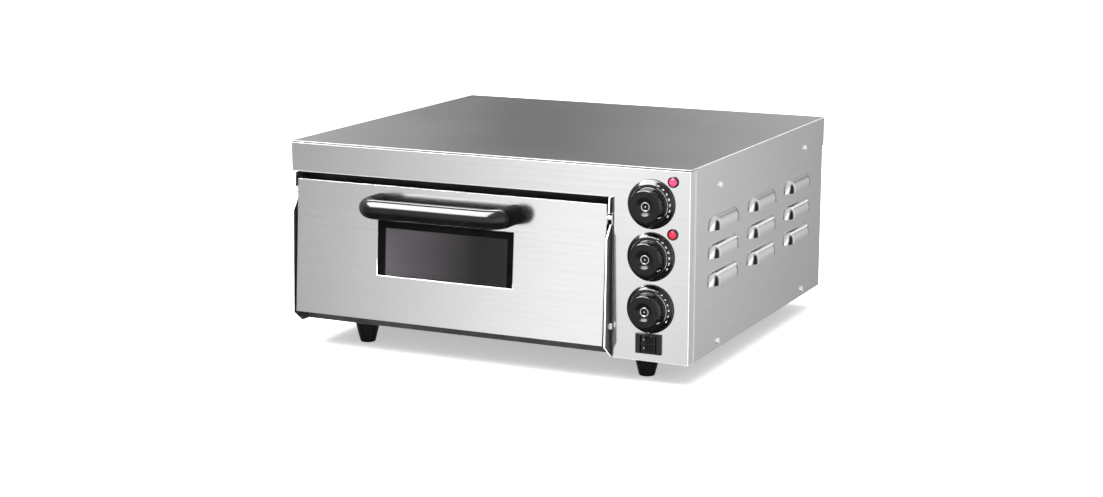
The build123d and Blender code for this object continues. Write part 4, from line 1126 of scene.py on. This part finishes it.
def nose_rise(distance):
    """How far a louvre has risen at a distance from its tip, all in mm."""
    rise = 0
    for (d0, s0), (d1, s1) in zip(NOSE, NOSE[1:]):
        run = min(max(distance - d0, 0), d1 - d0)
        rise += run * (s0 + (s1 - s0) * run / (d1 - d0) / 2)
    return rise


def louvre_corners():
    """The front lower corner of each louvre, on the panel's outer face."""
    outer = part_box("right_side_panel")[1].x - LOUVRE_PROUD * MM
    for column in range(3):
        for row in range(3):
            y = PANEL_Y + (LOUVRE_FRONT + column * LOUVRE_PITCH_Y) * MM
            yield Vector((outer, y, (LOUVRE_FOOT + row * LOUVRE_PITCH_Z) * MM))


def louvre_point(share, up, inset):
    """A point of a hood's skin: share from front to rear, up from its mouth to its top."""
    corner = 13
    rooted = 0.3
    length = LOUVRE_LENGTH - 2 * inset
    eased = 0.5 - 0.5 * cos(pi * share)
    along = (0.6 * eased + 0.4 * share) * length
    near = min(along, length - along)
    proud = (LOUVRE_PROUD - inset) * nose_rise(near) / nose_rise(NOSE[-1][0])
    tall = LOUVRE_HEIGHT - inset - MOUTH_HEIGHT
    height = MOUTH_HEIGHT + tall * sin(pi / 2 * min(near / corner, 1)) ** 0.9
    out = proud * max(0, 1 - up**3) ** 0.6
    if out < 0.02:
        out -= rooted
    return Vector((out, inset + along, up * height))


def hood_skin(mesh, corner, inset):
    """The grid of points over a hood, drawn in from its outside by inset."""
    ups = [sin(pi / 2 * j / HOOD_ROWS) for j in range(HOOD_ROWS + 1)]
    grid = []
    for i in range(HOOD_COLUMNS + 1):
        line = [corner + louvre_point(i / HOOD_COLUMNS, up, inset) * MM for up in ups]
        grid.append([mesh.verts.new(spot) for spot in line])
    return grid


def rim_of(grid):
    """The points round a grid's outside, in order."""
    mouth = [line[0] for line in grid]
    top = [line[-1] for line in reversed(grid)]
    return mouth + grid[-1][1:-1] + top + list(reversed(grid[0][1:-1]))


def hood(corner, lit_ridge):
    """One pressed hood, open below, with its ridge painted pale as a highlight when the second
    argument is true.
    """
    mesh = bmesh.new()
    skins = [hood_skin(mesh, corner, inset) for inset in (0, LOUVRE_SHEET)]
    for grid in skins:
        for i in range(HOOD_COLUMNS):
            a, b = grid[i], grid[i + 1]
            for j in range(HOOD_ROWS):
                face = mesh.faces.new((a[j], b[j], b[j + 1], a[j + 1]))
                if lit_ridge and i in RIDGE_COLUMNS and j in RIDGE_ROWS:
                    face.material_index = 1
    outer, inner = [rim_of(grid) for grid in skins]
    stitch(mesh, outer, inner)
    return mesh


def slotted_sheet():
    """The flat panel with a slot behind each hood, notched below the rear overhang."""
    low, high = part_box("right_side_panel")
    outer = high.x - LOUVRE_PROUD * MM
    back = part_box("rear_panel")[1].y
    lip = LIP_BOTTOM * MM
    slots = []
    for corner in louvre_corners():
        y = (corner.y + SLOT_MARGIN * MM, corner.y + (LOUVRE_LENGTH - SLOT_MARGIN) * MM)
        slots.append((y, (corner.z, corner.z + SLOT_HEIGHT * MM)))
    ys = sorted({low.y, back, high.y} | {y for slot in slots for y in slot[0]})
    zs = sorted({low.z, lip, high.z} | {z for slot in slots for z in slot[1]})
    mesh = bmesh.new()
    grid = [[mesh.verts.new((low.x, y, z)) for z in zs] for y in ys]
    for i in range(len(ys) - 1):
        for j in range(len(zs) - 1):
            y = (ys[i] + ys[i + 1]) / 2
            z = (zs[j] + zs[j + 1]) / 2
            open_here = any(a[0] < y < a[1] and b[0] < z < b[1] for a, b in slots)
            if open_here or (y > back and z < lip):
                continue
            mesh.faces.new((grid[i][j], grid[i + 1][j], grid[i + 1][j + 1], grid[i][j + 1]))
    bmesh.ops.delete(mesh, geom=[v for v in mesh.verts if not v.link_faces], context="VERTS")
    made = bmesh.ops.extrude_face_region(mesh, geom=list(mesh.faces), use_keep_orig=True)
    moved = [item for item in made["geom"] if isinstance(item, bmesh.types.BMVert)]
    bmesh.ops.translate(mesh, verts=moved, vec=(outer - low.x, 0, 0))
    return mesh


def side_panel():
    """The removable right side: a slotted sheet with nine pressed louvres."""
    node = "right_side_panel"
    sheet = slotted_sheet()
    piece(f"{node}.sheet", sheet, "casing", STAINLESS_SIDE, [node])
    top_row = max(corner.z for corner in louvre_corners())
    # The lower two rows get the ridge's painted highlight; the top row does not.
    hoods = joined([hood(corner, corner.z < top_row) for corner in louvre_corners()])
    made = piece(f"{node}.louvres", hoods, "casing", STAINLESS_SIDE, [node], 50, False)
    made.data.materials.append(EDGE_HIGHLIGHT)


# Light, floor and camera -----

def plate(name, size, material):
    """A flat square in the level plane, reaching size each way from its middle."""
    mesh = bmesh.new()
    bmesh.ops.create_grid(mesh, x_segments=1, y_segments=1, size=size)
    data = bpy.data.meshes.new(name)
    mesh.to_mesh(data)
    mesh.free()
    data.materials.append(material)
    return placed(name, data)


def floor():
    """A plain pale floor that glows a little, to come near the photograph's white."""
    glow = {"Emission_Color": (1, 1, 1, 1), "Emission_Strength": 0.45}
    paint = Paint("floor", Roughness=0.9, Specular_IOR_Level=0.1, **glow)
    cloud = paint.noise(0.6, 2)
    paint.set("Base Color", paint.ramp(cloud, grey(0.90), grey(0.92)))
    made = plate("floor", 9, paint.material)
    made.visible_glossy = False


def aim(made, place, facing):
    """Stands an object at a place, with its Z axis along facing."""
    made.location = place
    made.rotation_mode = "QUATERNION"
    made.rotation_quaternion = Vector(facing).to_track_quat("Z", "Y")


def card(name, place, facing, size, shade, soft):
    """A glowing square that only shows in reflections, dimming over its outer soft share."""
    dark = {"Base_Color": (0, 0, 0, 1), "Roughness": 1, "Specular_IOR_Level": 0}
    paint = Paint(name, Emission_Color=(1, 1, 1, 1), **dark)
    glow = shade
    for side in list(paint.axes())[:2]:
        fade = paint.span(paint.maths("ABSOLUTE", side), 1, 0, 0.5 - soft, 0.5)
        glow = paint.maths("MULTIPLY", fade, glow)
    paint.set("Emission Strength", glow)
    made = plate(name, 0.5, paint.material)
    made.scale = (size, size, 1)
    aim(made, place, facing)
    made.visible_camera = False
    made.visible_diffuse = False
    made.visible_shadow = False
    made.visible_transmission = False


def softbox(name, place, target, width, height, power):
    """A soft rectangular lamp that lights the scene and isn't itself seen."""
    light = bpy.data.lights.new(name, "AREA")
    light.shape = "RECTANGLE"
    light.size = width
    light.size_y = height
    light.energy = power
    made = placed(name, light)
    aim(made, place, Vector(place) - Vector(target))
    made.visible_camera = False
    made.visible_glossy = False


# Brightness of the studio's walls by bearing in degrees: 0 is in front, 90 to the right.
WALLS = (
    (-180, 0.42), (-163, 0.46), (-154, 0.10), (-143, 0.62), (-90, 0.40), (-37, 0.31),
    (-32, 0.415), (-27, 0.88), (-24, 1.32), (-21, 0.93), (-14, 0.88), (10, 1.00),
    (70, 1.50), (94, 1.30), (99, 0.01), (134, 0.01), (150, 1.02), (158, 0.77),
    (163, 0.24), (170, 0.21), (180, 0.36),
)
CEILING = 0.75
GROUND = 0.04


def daylight(strength):
    """Wide even light from above, which only lights and never reflects."""
    light = bpy.data.lights.new("daylight", "SUN")
    light.energy = strength
    light.angle = radians(80)
    made = placed("daylight", light)
    made.rotation_euler = (radians(12), radians(-8), 0)
    made.visible_glossy = False
    made.visible_camera = False


def walls_by_bearing(room, x, y):
    """The walls' brightness in the direction that is looked in."""
    bearing = room.maths("ARCTAN2", x, room.maths("MULTIPLY", y, -1))
    walls = room.node("ShaderNodeValToRGB", {"Fac": room.span(bearing, 0, 1, -pi, pi)})
    stops = walls.color_ramp.elements
    while len(stops) < len(WALLS):
        stops.new(0.5)
    for stop, (degrees, shade) in zip(stops, WALLS):
        stop.position = degrees / 360 + 0.5
        stop.color = (*grey(shade), 1)
    return walls.outputs[0]


def surroundings():
    """Studio walls of uneven brightness, a bright ceiling and a dark ground."""
    world = bpy.data.worlds.new("studio")
    bpy.context.scene.world = world
    world.use_nodes = True
    room = Nodes(world.node_tree, "Generated")
    x, y, z = room.axes()
    walls = walls_by_bearing(room, x, y)
    up = room.span(z, 0, 1, 0.26, 0.5)
    down = room.span(z, 0, 1, -0.17, -0.6)
    upper = room.mix(up, walls, (*grey(CEILING), 1))
    whole = room.mix(down, upper, (*grey(GROUND), 1))
    seen = room.node("ShaderNodeLightPath", {}).outputs["Is Camera Ray"]
    shown = room.mix(seen, whole, (*grey(1), 1))
    room.tree.links.new(shown, room.tree.nodes["Background"].inputs["Color"])


def camera():
    """The photograph's view: a long lens from the front right, a little above the top."""
    azimuth = radians(25.421)
    elevation = radians(12.522)
    distance = 2.546
    target = Vector((0.09145, -0.22205, 0.12127))
    level = cos(elevation)
    back = Vector((sin(azimuth) * level, -cos(azimuth) * level, sin(elevation)))
    data = bpy.data.cameras.new("camera")
    data.lens = 66.83
    data.sensor_width = 36
    data.shift_y = 0.02824
    made = placed("camera", data)
    aim(made, target + back * distance, back)
    bpy.context.scene.camera = made


def studio():
    floor()
    surroundings()
    softbox("key", (-0.84, -0.9, 1.7), (0, 0, 0.1), width=1.5, height=0.9, power=45)
    daylight(3.4)
    card("overhead panel", (-1.1, -1.2, 2.1), -UP, size=2.8, shade=24, soft=0.10)
    bpy.context.scene.view_settings.view_transform = "Standard"


sheet_metal()
side_panel()
knobs()
lamps()
switch()
feet()
small_parts()
wool()
stone()
elements()
door()
studio()
camera()
